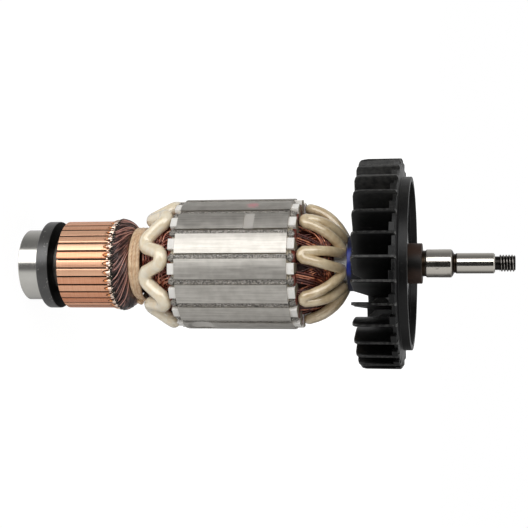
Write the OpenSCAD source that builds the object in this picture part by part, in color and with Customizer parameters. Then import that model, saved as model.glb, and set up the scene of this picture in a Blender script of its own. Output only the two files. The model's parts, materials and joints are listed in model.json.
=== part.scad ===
// Armature of a universal motor for a hand-held power tool. It stands on the face of its
// commutator-side bearing, with the shaft along +Z and the origin at the middle of that face.
// Angles are measured about +Z from the -Y side.

/* [Rear bearing] */
// Outside diameter of the ball bearing behind the commutator
bearing_d = 26; // [25.4:0.1:28]
// Bore of that bearing
bearing_bore = 9; // [8.6:0.1:9.2]
// Width of that bearing
bearing_w = 8; // [7.9:0.1:10]
// Diameter of one ball
ball_d = 4.76; // [4.4:0.02:4.8]
// Number of balls
ball_count = 7; // [5:1:7]
// Thickness of a rubber seal
seal_t = 0.7; // [0.5:0.05:0.75]
// Depth of a seal below the bearing's face
seal_inset = 0.3; // [0.2:0.05:0.35]

/* [Dust ring] */
// Outside diameter of the hard black ring between bearing and commutator
dust_ring_d = 32.2; // [30:0.2:36]
// Width of that ring
dust_ring_w = 4.4; // [3:0.1:6]

/* [Commutator] */
// Diameter of the copper brush track
track_d = 32.1; // [31:0.1:33]
// Length of a copper bar without its hook
track_len = 17.2; // [14:0.2:24]
// Length of the hook at a bar's end
hook_len = 3.8; // [3:0.1:5]
// Height of the hook over the brush track
hook_h = 1; // [0.5:0.05:1.5]
// Width of the hook around the commutator
hook_w = 1.8; // [1.2:0.1:2.4]
// Radial depth of a bar
bar_depth = 4.2; // [3.6:0.1:4.8]
// Width of the gap between two bars
bar_gap = 0.55; // [0.4:0.05:0.8]
// Depth by which the mica lies under the brush track
undercut = 0.9; // [0.5:0.1:1.4]
// Diameter of the steel bush that carries the commutator
bush_d = 20; // [18:0.2:22]
// Length of the bush between dust ring and bars
bush_proud = 3.4; // [2.5:0.1:6]

/* [Lead wires] */
// Largest diameter of the wires that leave the hooks
lead_d = 34.4; // [33:0.1:35]
// Length of that bundle along the shaft
lead_len = 5.3; // [5:0.1:5.6]
// Diameter of the winding under the binding cord
neck_d = 24.4; // [23:0.1:25]
// Thickness of the binding cord
cord_t = 1.5; // [1:0.1:2]
// Width of the binding cord
cord_w = 4.2; // [3.5:0.1:5.5]

/* [Core] */
// Diameter of the lamination stack
core_d = 47.2; // [46.4:0.1:48.4]
// Length of the lamination stack
core_len = 39.7; // [30:0.5:50]
// Width of a tooth behind its tip
tooth_w = 3.4; // [3.2:0.05:3.5]
// Radial thickness of a tooth's tip at the slot mouth
tip_t = 1.5; // [1.3:0.05:1.8]
// Width of a slot's mouth
mouth_w = 2; // [1.6:0.1:2.3]
// Radius of the bottom of a slot
slot_bottom_r = 12.6; // [12:0.1:13.5]
// Depth of the wedge's face under the tooth tips
wedge_inset = 0.5; // [0.3:0.05:0.7]
// Thickness of the paper that lines a slot
liner_t = 0.35; // [0.25:0.05:0.45]
// Length by which the lining stands out of the stack at each end
liner_proud = 1.5; // [1:0.1:2]

/* [End plates] */
// Thickness of the white end plate on the commutator side
rear_plate_t = 2.6; // [2.1:0.1:3.4]
// Thickness of the white end plate on the fan side
front_plate_t = 2.7; // [2.1:0.1:3.4]
// Width of an end plate's finger tip
finger_w = 3.9; // [3.5:0.1:4.2]
// Depth of a finger tip under the stack's surface
finger_inset = 0.6; // [0.2:0.1:1]

/* [Winding heads] */
// Length from the binding cord to the rear end plate
rear_head_len = 12.8; // [12.6:0.1:16]
// Length from the front end plate to the white hub
front_head_len = 16.9; // [15.8:0.1:18]
// Diameter of the thick sleeving on the commutator side
rear_sleeve_d = 4.8; // [4.2:0.1:5]
// Diameter of the thinner sleeving on the fan side
front_sleeve_d = 3.7; // [3.4:0.05:3.75]
// Number of sleeving loops around each head
loop_count = 8; // [6:1:8]
// Radius of the rear loops' middle line next to the commutator
rear_loop_in_r = 16.8; // [16.5:0.1:17.5]
// Depth of the rear loops' middle line under the stack's surface, at the stack's end
rear_loop_inset = 2.7; // [2.4:0.1:3.1]
// Depth of the front loops' middle line under the stack's surface, at the stack's end
front_loop_inset = 3.6; // [3:0.1:3.7]
// Radius by which the front loops' middle line stands out from the hub's, at the hub
front_loop_rise = 0.25; // [0:0.05:0.5]

/* [Shaft insulation] */
// Wall of the white tube around the shaft
tube_wall = 1.7; // [1.4:0.1:1.8]
// Diameter of the white hub under the fan-side loops
hub_d = 18.8; // [17:0.2:21]
// Length of that hub
hub_len = 0.5; // [0.4:0.1:2]
// Diameter of the blue insulating ring
blue_d = 19.8; // [18:0.2:21.4]
// Length of the blue ring
blue_len = 3.2; // [2:0.1:4]

/* [Fan] */
// Diameter over the fan's blades
fan_d = 75; // [73:0.5:80]
// Number of blades
blade_count = 29; // [20:1:30]
// Thickness of a blade
blade_t = 1.1; // [0.8:0.05:1.3]
// Length of a blade along the shaft
blade_len = 15.1; // [12.6:0.1:16]
// Radius at which the blades begin
blade_in_r = 23.5; // [23:0.1:25]
// Angle between a blade's outer and inner edge
blade_sweep = 20; // [15:1:24]
// Radius of the rounded corner at a blade's free end
blade_corner = 2; // [1:0.1:3]
// Thickness of the fan's disc at its rim
disc_t = 1.6; // [1.2:0.1:2.2]
// Depth of the disc's rim between the blades
rim_inset = 1.3; // [0.6:0.1:2]
// Diameter of the ring on the fan's front
band_d = 61.6; // [58:0.2:66]
// Wall of that ring
band_wall = 1.8; // [1.2:0.1:3]
// Depth of the recess inside that ring
recess_depth = 2.3; // [1.5:0.1:2.8]
// Diameter of the low boss in the recess, around the collar
recess_boss_d = 23.2; // [20:0.4:30]
// Height of that boss over the recess floor
recess_boss_h = 0.7; // [0.3:0.1:1.2]
// Diameter of the fan's boss
boss_d = 19; // [18:0.2:20.4]

/* [Shaft] */
// Diameter of the shaft under commutator, stack and fan
shaft_d = 11; // [10.6:0.1:11.4]
// Diameter of the brown collar in front of the fan
collar_d = 14.4; // [13:0.2:17]
// Length of the collar out of the fan's recess floor
collar_len = 5.8; // [4:0.1:9]
// Diameter of the seat for the front bearing
front_seat_d = 10; // [9.4:0.1:10.4]
// Length of the seat for the front bearing
front_seat_len = 8.8; // [6:0.1:12]
// Width of the grinding neck behind that seat
seat_neck_w = 1.2; // [0.8:0.1:2]
// Length of the cone and neck between the two seats
relief_len = 1.6; // [1.2:0.1:4]
// Diameter of the seat for the pinion
pinion_seat_d = 7.2; // [6.8:0.1:8]
// Length of the seat for the pinion
pinion_seat_len = 13.5; // [9:0.1:18]
// Outside diameter of the end thread
thread_d = 6; // [5.4:0.1:6.4]
// Length of the neck behind the thread
thread_neck_w = 1.7; // [1:0.1:3]
// Length of the thread
thread_len = 5.4; // [4:0.1:12]
// Size of the shaft's chamfers
chamfer = 0.5; // [0.3:0.05:0.7]

/* [Balancing cuts] */
// Width of the straight cut across one tooth
notch_w = 3.6; // [2:0.1:8]
// Depth of that cut
notch_depth = 0.6; // [0.3:0.1:1]
// Place of that cut along the stack, from its rear face
notch_at = 25.7; // [10:0.1:27.5]
// Length of the scooped cut in another tooth
scoop_len = 10.7; // [6:0.1:14]
// Depth of the scooped cut
scoop_depth = 0.8; // [0.4:0.1:1]
// Place of the scooped cut's middle, from the stack's rear face
scoop_at = 6.7; // [6:0.1:20]

/* [Hidden] */
$fn = 96;

// Clearances: a pressed or moulded fit, a rolling fit, and a gap beside what turns
seat_gap = 0.02;
roll_gap = 0.05;
side_gap = 0.2;
sleeve_gap = 0.25;

// Places along the shaft, each worked out from the piece before it
dust_ring_z = bearing_w + side_gap;
bush_z = dust_ring_z + dust_ring_w;
bar_z = bush_z + bush_proud;
hook_z = bar_z + track_len;
lead_z = hook_z + hook_len;
cord_z = lead_z + lead_len;
rear_head_z = cord_z + cord_w;
rear_plate_z = rear_head_z + rear_head_len;
core_z = rear_plate_z + rear_plate_t;
front_plate_z = core_z + core_len;
front_head_z = front_plate_z + front_plate_t;
hub_z = front_head_z + front_head_len;
blue_z = hub_z + hub_len;
boss_z = blue_z + blue_len;
blade_z = boss_z + 0.1;
disc_top_z = blade_z + blade_len;
disc_z = disc_top_z - disc_t;
floor_z = disc_top_z + 0.9;
band_top_z = floor_z + recess_depth;
collar_z = floor_z + recess_boss_h;
neck_z = floor_z + collar_len;
front_seat_z = neck_z + seat_neck_w;
relief_z = front_seat_z + front_seat_len;
pinion_seat_z = relief_z + relief_len;
thread_neck_z = pinion_seat_z + pinion_seat_len;
thread_z = thread_neck_z + thread_neck_w;
shaft_top_z = thread_z + thread_len;
shaft_bottom_z = 0.4;

// Bearing
pitch_r = (bearing_d + bearing_bore) / 4;
race_r = ball_d / 2 + roll_gap;
shoulder = ball_d * 0.38;
inner_shoulder_r = pitch_r - shoulder;
outer_shoulder_r = pitch_r + shoulder;
seal_seat_r = outer_shoulder_r + 0.8;
seal_lip_gap = 0.15;
cage_web = 0.25;
cage_h = ball_d + 2 * (roll_gap + cage_web);

// Commutator
bar_step = 360 / bar_count();
bar_angle = bar_step - bar_gap / track_r() * 180 / PI;
first_bar = 10.1;
moulding_r = track_r() - bar_depth;
bush_sleeve_r = shaft_d / 2 + 2;
bar_anchor = 0.7;

// Stack and slots
tooth_count = 16;
tooth_step = 360 / tooth_count;
first_tooth = 4.2;
first_slot = first_tooth + tooth_step / 2;
slot_top_x = core_d / 2 - tip_t - 1.2;
mouth_x = core_d / 2 - tip_t;
tube_r = shaft_d / 2 + tube_wall;

// Middle line of the rear loops, straight along a cone
rear_turn_r = 2.9;
rear_loop_out_r = core_d / 2 - rear_loop_inset;
rear_in_z = rear_head_z + rear_sleeve_d / 2 + 0.5;
rear_out_z = rear_plate_z - rear_sleeve_d / 2 - 0.3;
rear_line_len = norm([rear_out_z - rear_in_z, rear_loop_out_r - rear_loop_in_r]);
rear_line = [rear_out_z - rear_in_z, rear_loop_out_r - rear_loop_in_r] / rear_line_len;
rear_normal = [-rear_line[1], rear_line[0]];

// Middle line of the front loops, an arc around the dome's centre
front_turn_r = front_sleeve_d / 2 + 0.1;
front_centre_z = front_head_z - 0.9;
front_in_r = hub_d / 2 + front_loop_rise;
front_in_rise = hub_z - side_gap - front_sleeve_d / 2 - front_centre_z;
front_out_r = core_d / 2 - front_loop_inset;
front_out_rise = front_head_z + side_gap + front_sleeve_d / 2 - front_centre_z;
front_power = pow(front_out_r, 2) + pow(front_out_rise, 2) - pow(front_in_r, 2) - pow(front_in_rise, 2);
front_centre_r = front_power / 2 / (front_out_r - front_in_r);
front_arc_r = norm([front_in_r - front_centre_r, front_in_rise]);
front_arc_in = atan2(front_in_r - front_centre_r, front_in_rise);
front_arc_out = atan2(front_out_r - front_centre_r, front_out_rise);
front_line_len = front_arc_r * (front_arc_out - front_arc_in) * PI / 180;
front_dome_r = front_arc_r - front_sleeve_d / 2 - sleeve_gap;

// Fan
fan_r = fan_d / 2;
band_r = band_d / 2;
blade_curve_r = 45;
first_blade = -3.9;
lug_angle = 5.2;
lug_rise = 1.2;

function bar_count() = 32;
function bar_name(i) = str("commutator_bar_", i < 10 ? "0" : "", i);
function track_r() = track_d / 2;

// Places a child on the side seen at the given angle from -Y
module at(angle) {
    rotate([0, 0, angle - 90])
        children();
}

// A tube around the shaft, from one height to another
module ring(inner_r, outer_r, z_low, z_high) {
    rotate_extrude()
        translate([inner_r, z_low])
            square([outer_r - inner_r, z_high - z_low]);
}

// One cylindrical step of a turned piece, with a chamfer at either end
module turned(r, z_low, z_high, low = 0, high = 0) {
    rotate_extrude()
        polygon([
            [0, z_low], [r - low, z_low], [r, z_low + low],
            [r, z_high - high], [r - high, z_high], [0, z_high]
        ]);
}

module shaft() {
    seat_r = front_seat_d / 2;
    pinion_r = pinion_seat_d / 2;
    color("silver") {
        turned(bearing_bore / 2 - seat_gap, shaft_bottom_z, bearing_w + 0.1, chamfer);
        turned(shaft_d / 2, bearing_w, neck_z, 0.2);
        turned(seat_r - 0.4, neck_z - 0.1, front_seat_z + 0.1);
        turned(seat_r, front_seat_z, relief_z + chamfer, chamfer / 2, chamfer);
        turned(pinion_r - 0.2, relief_z, pinion_seat_z + 0.1);
        turned(pinion_r, pinion_seat_z, thread_neck_z, chamfer / 2, chamfer);
        turned(thread_d / 2 - 0.6, thread_neck_z - 0.1, thread_z + 0.1);
        turned(thread_d / 2, thread_z, shaft_top_z, chamfer, chamfer);
    }
}

// Outline of a bearing ring with its race, between two radii
module race_ring(inner_r, outer_r) {
    difference() {
        translate([inner_r, 0])
            square([outer_r - inner_r, bearing_w]);
        translate([pitch_r, bearing_w / 2])
            circle(r = race_r);
    }
}

module bearing_inner_ring() {
    color("silver")
        rotate_extrude()
            race_ring(bearing_bore / 2, inner_shoulder_r);
}

module bearing_outer_ring() {
    corner = 0.4;
    seat_depth = seal_inset + seal_t;
    color("silver")
        rotate_extrude()
            difference() {
                race_ring(outer_shoulder_r, bearing_d / 2);
                for (z = [0, bearing_w - seat_depth])
                    translate([outer_shoulder_r - 1, z])
                        square([seal_seat_r - outer_shoulder_r + 1, seat_depth]);
                for (z = [0, bearing_w])
                    translate([bearing_d / 2, z])
                        rotate(45)
                            square(corner * sqrt(2), center = true);
            }
}

module bearing_balls() {
    color("lightgray")
        for (i = [0 : ball_count - 1])
            at(i * 360 / ball_count)
                translate([pitch_r, 0, bearing_w / 2])
                    sphere(d = ball_d);
}

module bearing_cage() {
    color("gray")
        difference() {
            ring(pitch_r - 0.65, pitch_r + 0.65, (bearing_w - cage_h) / 2, (bearing_w + cage_h) / 2);
            for (i = [0 : ball_count - 1])
                at(i * 360 / ball_count)
                    translate([pitch_r, 0, bearing_w / 2])
                        sphere(r = race_r);
        }
}

module seal(z_low) {
    color("dimgray")
        ring(inner_shoulder_r + seal_lip_gap, seal_seat_r - seat_gap, z_low, z_low + seal_t);
}

module bearing_outer_seal() {
    seal(seal_inset);
}

module bearing_inner_seal() {
    seal(bearing_w - seal_inset - seal_t);
}

module dust_ring() {
    boss_r = inner_shoulder_r - 0.1;
    edge = 0.3;
    color("#2b2a2a")
        rotate_extrude()
            polygon([
                [shaft_d / 2 + seat_gap, bearing_w], [boss_r, bearing_w], [boss_r, dust_ring_z],
                [dust_ring_d / 2 - edge, dust_ring_z], [dust_ring_d / 2, dust_ring_z + edge],
                [dust_ring_d / 2, bush_z - edge], [dust_ring_d / 2 - edge, bush_z],
                [shaft_d / 2 + seat_gap, bush_z]
            ]);
}

module commutator_bush() {
    color("lightgray")
        rotate_extrude()
            polygon([
                [shaft_d / 2 + seat_gap, bush_z], [bush_d / 2, bush_z], [bush_d / 2, bar_z + 0.5],
                [bush_sleeve_r, bar_z + 0.5], [bush_sleeve_r, lead_z], [shaft_d / 2 + seat_gap, lead_z]
            ]);
}

// Inner side of the bars, a foot that the moulding grips at both ends
function anchor_line(r, shift) = [
    [r + bar_anchor, bar_z + 1.2 + shift], [r, bar_z + 2.6 + shift],
    [r, lead_z - 2.6 - shift], [r + bar_anchor, lead_z - 1.2 - shift]
];

module commutator_moulding() {
    color("#3a241c")
        rotate_extrude()
            polygon(concat(
                [[bush_sleeve_r + seat_gap, lead_z], [bush_sleeve_r + seat_gap, bar_z + 0.5 + seat_gap]],
                [[moulding_r + bar_anchor + 0.4, bar_z + 0.5 + seat_gap]],
                [[moulding_r + bar_anchor + 0.4, bar_z + 1.2 - seat_gap]],
                anchor_line(moulding_r - seat_gap, -seat_gap),
                [[moulding_r + bar_anchor + 0.4, lead_z - 1.2 + seat_gap]],
                [[moulding_r + bar_anchor + 0.4, lead_z]]
            ));
}

module mica_segments() {
    mica_angle = bar_gap / track_r() * 180 / PI - 0.15;
    color("#d8c9a8")
        for (i = [0 : bar_count() - 1])
            at(first_bar + (i + 0.5) * bar_step - mica_angle / 2)
                rotate_extrude(angle = mica_angle)
                    polygon(concat(
                        [[track_r() - undercut, bar_z + 0.4]],
                        anchor_line(moulding_r, 0),
                        [[track_r() - undercut, lead_z - 0.4]]
                    ));
}

module commutator_bar(i) {
    hook_angle = hook_w / track_r() * 180 / PI;
    lead_in = 0.4;
    start = first_bar + (i - 1) * bar_step;
    color("#c98a5c") {
        at(start - bar_angle / 2)
            rotate_extrude(angle = bar_angle)
                polygon(concat(
                    [[track_r(), lead_z], [track_r(), bar_z + lead_in]],
                    [[track_r() - lead_in, bar_z], [moulding_r + bar_anchor + 0.4 + seat_gap, bar_z]],
                    [[moulding_r + bar_anchor + 0.4 + seat_gap, bar_z + 1.2]],
                    anchor_line(moulding_r, 0),
                    [[moulding_r + bar_anchor + 0.4 + seat_gap, lead_z - 1.2]],
                    [[moulding_r + bar_anchor + 0.4 + seat_gap, lead_z]]
                ));
        at(start - hook_angle / 2)
            rotate_extrude(angle = hook_angle)
                polygon([
                    [track_r() - 0.1, hook_z], [track_r() + hook_h * 0.3, hook_z],
                    [track_r() + hook_h, lead_z - 1.2], [track_r() + hook_h, lead_z],
                    [track_r() - 0.1, lead_z]
                ]);
    }
}

// Wires fan out behind the hooks in a rounded bundle
module lead_wires() {
    arc_r = 6.05;
    arc_z = lead_z - 0.8;
    low = asin((lead_z + seat_gap - arc_z) / arc_r);
    high = asin((cord_z - 0.1 - arc_z) / arc_r);
    color("#5a2f2c")
        rotate_extrude()
            polygon(concat(
                [[tube_r + seat_gap, cord_z - seat_gap], [tube_r + seat_gap, lead_z + seat_gap]],
                [for (i = [0 : 8])
                    let (a = low + (high - low) * i / 8)
                    [lead_d / 2 - arc_r + arc_r * cos(a), arc_z + arc_r * sin(a)]],
                [[neck_d / 2, cord_z - seat_gap]]
            ));
}

module binding_cord() {
    knot_d = 3.2;
    edge = 0.4;
    low_r = neck_d / 2 + seat_gap;
    color("#c9b48f") {
        rotate_extrude()
            polygon([
                [low_r, cord_z], [low_r + cord_t - edge, cord_z], [low_r + cord_t, cord_z + edge],
                [low_r + cord_t, rear_head_z - edge], [low_r + cord_t - edge, rear_head_z],
                [low_r, rear_head_z]
            ]);
        at(80)
            translate([low_r + cord_t + 0.3, 0, cord_z + knot_d / 2])
                sphere(d = knot_d);
    }
}

module shaft_insulation() {
    inner_r = shaft_d / 2 + seat_gap;
    color("white") {
        ring(inner_r, tube_r, lead_z + seat_gap, blue_z);
        ring(inner_r, hub_d / 2, hub_z, blue_z);
    }
}

module blue_ring() {
    color("#1c3fa8")
        ring(shaft_d / 2 + seat_gap, blue_d / 2, blue_z, boss_z);
}

// Half the width of a slot at a distance from the shaft, less an inset on each side
function slot_half(x, inset) =
    x * tan(tooth_step / 2) - (tooth_w / 2 + inset) / cos(tooth_step / 2);

// Outline of the closed part of a slot, shrunk by an inset, with the shaft at the origin
function slot_outline(inset) =
    let (bottom = slot_bottom_r + inset, top = slot_top_x, roof = mouth_x - inset)
    [
        [bottom, -slot_half(bottom, inset)], [top, -slot_half(top, inset)],
        [roof, -mouth_w / 2 + inset], [roof, mouth_w / 2 - inset],
        [top, slot_half(top, inset)], [bottom, slot_half(bottom, inset)]
    ];

module each_slot() {
    for (i = [0 : tooth_count - 1])
        at(first_slot + i * tooth_step)
            children();
}

module core_stack() {
    scoop_r = (pow(scoop_len / 2, 2) + pow(scoop_depth, 2)) / (2 * scoop_depth);
    notch_tooth = first_tooth - 2 * tooth_step;
    scoop_tooth = first_tooth + 3 * tooth_step;
    color("#8f8b86")
        difference() {
            translate([0, 0, core_z])
                linear_extrude(core_len)
                    difference() {
                        circle(d = core_d, $fn = 180);
                        circle(r = tube_r + seat_gap);
                        each_slot() {
                            polygon(slot_outline(0));
                            translate([mouth_x - 0.1, -mouth_w / 2])
                                square([core_d, mouth_w]);
                        }
                    }
            at(notch_tooth)
                translate([core_d / 2 - notch_depth, -core_d / 4, core_z + notch_at - notch_w / 2])
                    cube([core_d, core_d / 2, notch_w]);
            at(scoop_tooth)
                translate([core_d / 2 - scoop_depth + scoop_r, 0, core_z + scoop_at])
                    rotate([90, 0, 0])
                        cylinder(r = scoop_r, h = tooth_step / 360 * PI * core_d, center = true);
        }
}

// White fibre plate with one finger on each tooth
module end_plate(z_low, thickness) {
    hub_r = slot_bottom_r - 0.1;
    tip_r = core_d / 2 - finger_inset;
    tip_start = mouth_x - 0.8;
    color("#f4f1ea")
        translate([0, 0, z_low])
            linear_extrude(thickness)
                difference() {
                    union() {
                        circle(r = hub_r);
                        for (i = [0 : tooth_count - 1])
                            at(first_tooth + i * tooth_step) {
                                translate([0, -tooth_w / 2])
                                    square([tip_start + 0.1, tooth_w]);
                                translate([tip_start, -finger_w / 2])
                                    square([tip_r - tip_start, finger_w]);
                            }
                    }
                    circle(r = tube_r + seat_gap);
                }
}

module rear_end_plate() {
    end_plate(rear_plate_z, rear_plate_t);
}

module front_end_plate() {
    end_plate(front_plate_z, front_plate_t);
}

module slot_liners() {
    color("#cfc8b8")
        each_slot()
            translate([0, 0, core_z - liner_proud])
                linear_extrude(core_len + 2 * liner_proud)
                    difference() {
                        polygon(slot_outline(seat_gap));
                        polygon(slot_outline(liner_t));
                    }
}

module slot_conductors() {
    color("#a4542f")
        each_slot()
            translate([0, 0, rear_plate_z + seat_gap])
                linear_extrude(front_head_z - rear_plate_z - 2 * seat_gap)
                    polygon(slot_outline(liner_t + seat_gap));
}

module slot_wedges() {
    color("#77736c")
        each_slot()
            translate([mouth_x + seat_gap, -mouth_w / 2 + seat_gap, core_z])
                cube([tip_t - wedge_inset - seat_gap, mouth_w - 2 * seat_gap, core_len]);
}

// Coil ends between the binding cord and the stack
module rear_winding() {
    step_back = rear_sleeve_d / 2 + sleeve_gap;
    low = [rear_loop_in_r, rear_in_z] - step_back * [rear_normal[1], rear_normal[0]];
    high = [rear_loop_out_r, rear_out_z] - step_back * [rear_normal[1], rear_normal[0]];
    slope = (high[0] - low[0]) / (high[1] - low[1]);
    color("#8e3f2a")
        rotate_extrude()
            polygon([
                [tube_r + seat_gap, cord_z], [neck_d / 2, cord_z], [neck_d / 2, rear_head_z],
                [low[0] - slope * (low[1] - rear_head_z), rear_head_z], high,
                [rear_loop_out_r - 0.6, rear_plate_z], [tube_r + seat_gap, rear_plate_z]
            ]);
}

// Coil ends between the stack and the white hub, a dome
module front_winding() {
    low = acos((front_head_z - front_centre_z) / front_dome_r);
    high = asin((tube_r + 0.6 - front_centre_r) / front_dome_r);
    steps = 10;
    color("#8e3f2a")
        rotate_extrude()
            polygon(concat(
                [[tube_r + seat_gap, front_centre_z + front_dome_r * cos(high)]],
                [[tube_r + seat_gap, front_head_z]],
                [for (i = [0 : steps])
                    let (a = low + (high - low) * i / steps)
                    [front_centre_r + front_dome_r * sin(a), front_centre_z + front_dome_r * cos(a)]]
            ));
}

// A place on a loop's middle line: height, radius, and the outward normal's two parts
function rear_line_at(m) = [
    rear_in_z + rear_line[0] * m, rear_loop_in_r + rear_line[1] * m, rear_normal[0], rear_normal[1]
];
function front_line_at(m) =
    let (a = front_arc_in + m / front_arc_r * 180 / PI)
    [front_centre_z + front_arc_r * cos(a), front_centre_r + front_arc_r * sin(a), cos(a), sin(a)];

// Points of one limb, from the turn at its start to the turn at its end
function limb(line, from_m, to_m, from_a, to_a) =
    [for (t = [0 : 0.25 : 1]) [line(from_m + t * (to_m - from_m)), from_a + t * (to_a - from_a)]];

// Points of one turn around an apex, where side is 1 for the inner end and -1 for the outer
function turn(line, apex_m, side, turn_r, apex_a) =
    [for (f = [-45, 0, 45])
        let (place = line(apex_m + side * turn_r * (1 - cos(f))))
        [place, apex_a + turn_r * sin(f) / place[1] * 180 / PI]];

// The closed zigzag of all the loops around one winding head
function zigzag(line, line_len, turn_r, first) =
    let (
        step = 360 / loop_count,
        in_side = turn_r / line(turn_r)[1] * 180 / PI,
        out_side = turn_r / line(line_len - turn_r)[1] * 180 / PI
    )
    [for (k = [0 : loop_count - 1])
        let (a = first + k * step, b = a + step / 2)
        each concat(
            turn(line, 0, 1, turn_r, a),
            limb(line, turn_r, line_len - turn_r, a + in_side, b - out_side),
            turn(line, line_len, -1, turn_r, b),
            limb(line, line_len - turn_r, turn_r, b + out_side, a + step - in_side)
        )];

function in_space(p) = [p[0][1] * cos(p[1] - 90), p[0][1] * sin(p[1] - 90), p[0][0]];
function outward(p) = [p[0][3] * cos(p[1] - 90), p[0][3] * sin(p[1] - 90), p[0][2]];
function unit(v) = v / norm(v);

// Sweeps a tube along a closed list of such points
module swept_loop(path, tube_d) {
    sides = 8;
    n = len(path);
    places = [for (p = path) in_space(p)];
    points = [
        for (i = [0 : n - 1])
            let (
                along = unit(places[(i + 1) % n] - places[(i + n - 1) % n]),
                across = unit(cross(along, outward(path[i]))),
                up = cross(across, along)
            )
            for (j = [0 : sides - 1])
                places[i] + tube_d / 2 * (cos(j * 360 / sides) * up + sin(j * 360 / sides) * across)
    ];
    faces = [
        for (i = [0 : n - 1])
            for (j = [0 : sides - 1])
                let (
                    a = i * sides + j, b = i * sides + (j + 1) % sides,
                    c = (i + 1) % n * sides + (j + 1) % sides, d = (i + 1) % n * sides + j
                )
                each [[a, b, c], [a, c, d]]
    ];
    polyhedron(points, faces);
}

module rear_sleeving() {
    path = zigzag(function(m) rear_line_at(m), rear_line_len, rear_turn_r, first_slot);
    color("#e6dcc3")
        swept_loop(path, rear_sleeve_d);
}

module front_sleeving() {
    path = zigzag(function(m) front_line_at(m), front_line_len, front_turn_r, first_slot);
    color("#e6dcc3")
        swept_loop(path, front_sleeve_d);
}

// Outline of one blade, an arc that leans back from its outer edge to its inner edge
module blade_outline() {
    inner = blade_in_r * [cos(blade_sweep), sin(blade_sweep)];
    outer = [fan_r, 0];
    middle = (inner + outer) / 2;
    chord = outer - inner;
    rise = sqrt(pow(blade_curve_r, 2) - pow(norm(chord) / 2, 2));
    centre = middle + rise * [-chord[1], chord[0]] / norm(chord);
    intersection() {
        translate(centre)
            difference() {
                circle(r = blade_curve_r + blade_t / 2);
                circle(r = blade_curve_r - blade_t / 2);
            }
        polygon([[0, 0], [2 * fan_r, -fan_r / 2], [fan_r, fan_r]]);
    }
}

module blades() {
    edge = 0.8;
    intersection() {
        translate([0, 0, blade_z])
            linear_extrude(blade_len)
                for (i = [0 : blade_count - 1])
                    at(first_blade + i * 360 / blade_count)
                        blade_outline();
        rotate_extrude()
            polygon(concat(
                [[blade_in_r, disc_top_z], [blade_in_r, blade_z + 6], [blade_in_r + 3, blade_z]],
                [for (a = [0 : 30 : 90])
                    [fan_r - blade_corner * (1 - sin(a)), blade_z + blade_corner * (1 - cos(a))]],
                [[fan_r, disc_top_z - edge], [fan_r - edge, disc_top_z]]
            ));
    }
}

// Lugs of the disc's rim, one behind each blade
module rim_lugs() {
    translate([0, 0, disc_z - lug_rise])
        for (i = [0 : blade_count - 1])
            at(first_blade + i * 360 / blade_count - lug_angle)
                rotate_extrude(angle = lug_angle)
                    translate([fan_r - rim_inset - 1, 0])
                        square([rim_inset + 0.8, lug_rise + disc_t - 0.5]);
}

module fan() {
    cone_r = disc_z - boss_z - 1.1;
    boss_r = boss_d / 2;
    bore_r = shaft_d / 2 + seat_gap;
    recess_boss_r = recess_boss_d / 2;
    color("#1d1d1c")
        union() {
            rotate_extrude()
                polygon(concat(
                    [[recess_boss_r, floor_z], [recess_boss_r, collar_z], [bore_r, collar_z]],
                    [[bore_r, boss_z], [boss_r, boss_z]],
                    [for (a = [0 : 10 : 90])
                        [boss_r + cone_r * (1 - cos(a)), disc_z - cone_r + cone_r * sin(a)]],
                    [[fan_r - rim_inset, disc_z], [fan_r - rim_inset, disc_top_z - 0.3]],
                    [[band_r, disc_top_z + 0.2], [band_r, band_top_z - 0.3], [band_r - 0.3, band_top_z]],
                    [[band_r - band_wall + 0.3, band_top_z], [band_r - band_wall, band_top_z - 0.3]],
                    [[band_r - band_wall, floor_z]]
                ));
            blades();
            rim_lugs();
        }
}

module front_collar() {
    edge = 0.3;
    inner_r = shaft_d / 2 + seat_gap;
    color("#4a3428")
        rotate_extrude()
            polygon([
                [inner_r, collar_z], [collar_d / 2, collar_z], [collar_d / 2, neck_z - edge],
                [collar_d / 2 - edge, neck_z], [inner_r, neck_z]
            ]);
}

shaft();
bearing_inner_ring();
bearing_outer_ring();
bearing_balls();
bearing_cage();
bearing_outer_seal();
bearing_inner_seal();
dust_ring();
commutator_bush();
commutator_moulding();
mica_segments();
for (i = [1 : bar_count()]) commutator_bar(i);
lead_wires();
binding_cord();
shaft_insulation();
blue_ring();
core_stack();
rear_end_plate();
front_end_plate();
slot_liners();
slot_conductors();
slot_wedges();
rear_winding();
front_winding();
rear_sleeving();
front_sleeving();
fan();
front_collar();
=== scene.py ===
import json
import math
import random

import bpy
from mathutils import Matrix, Vector, noise


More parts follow.
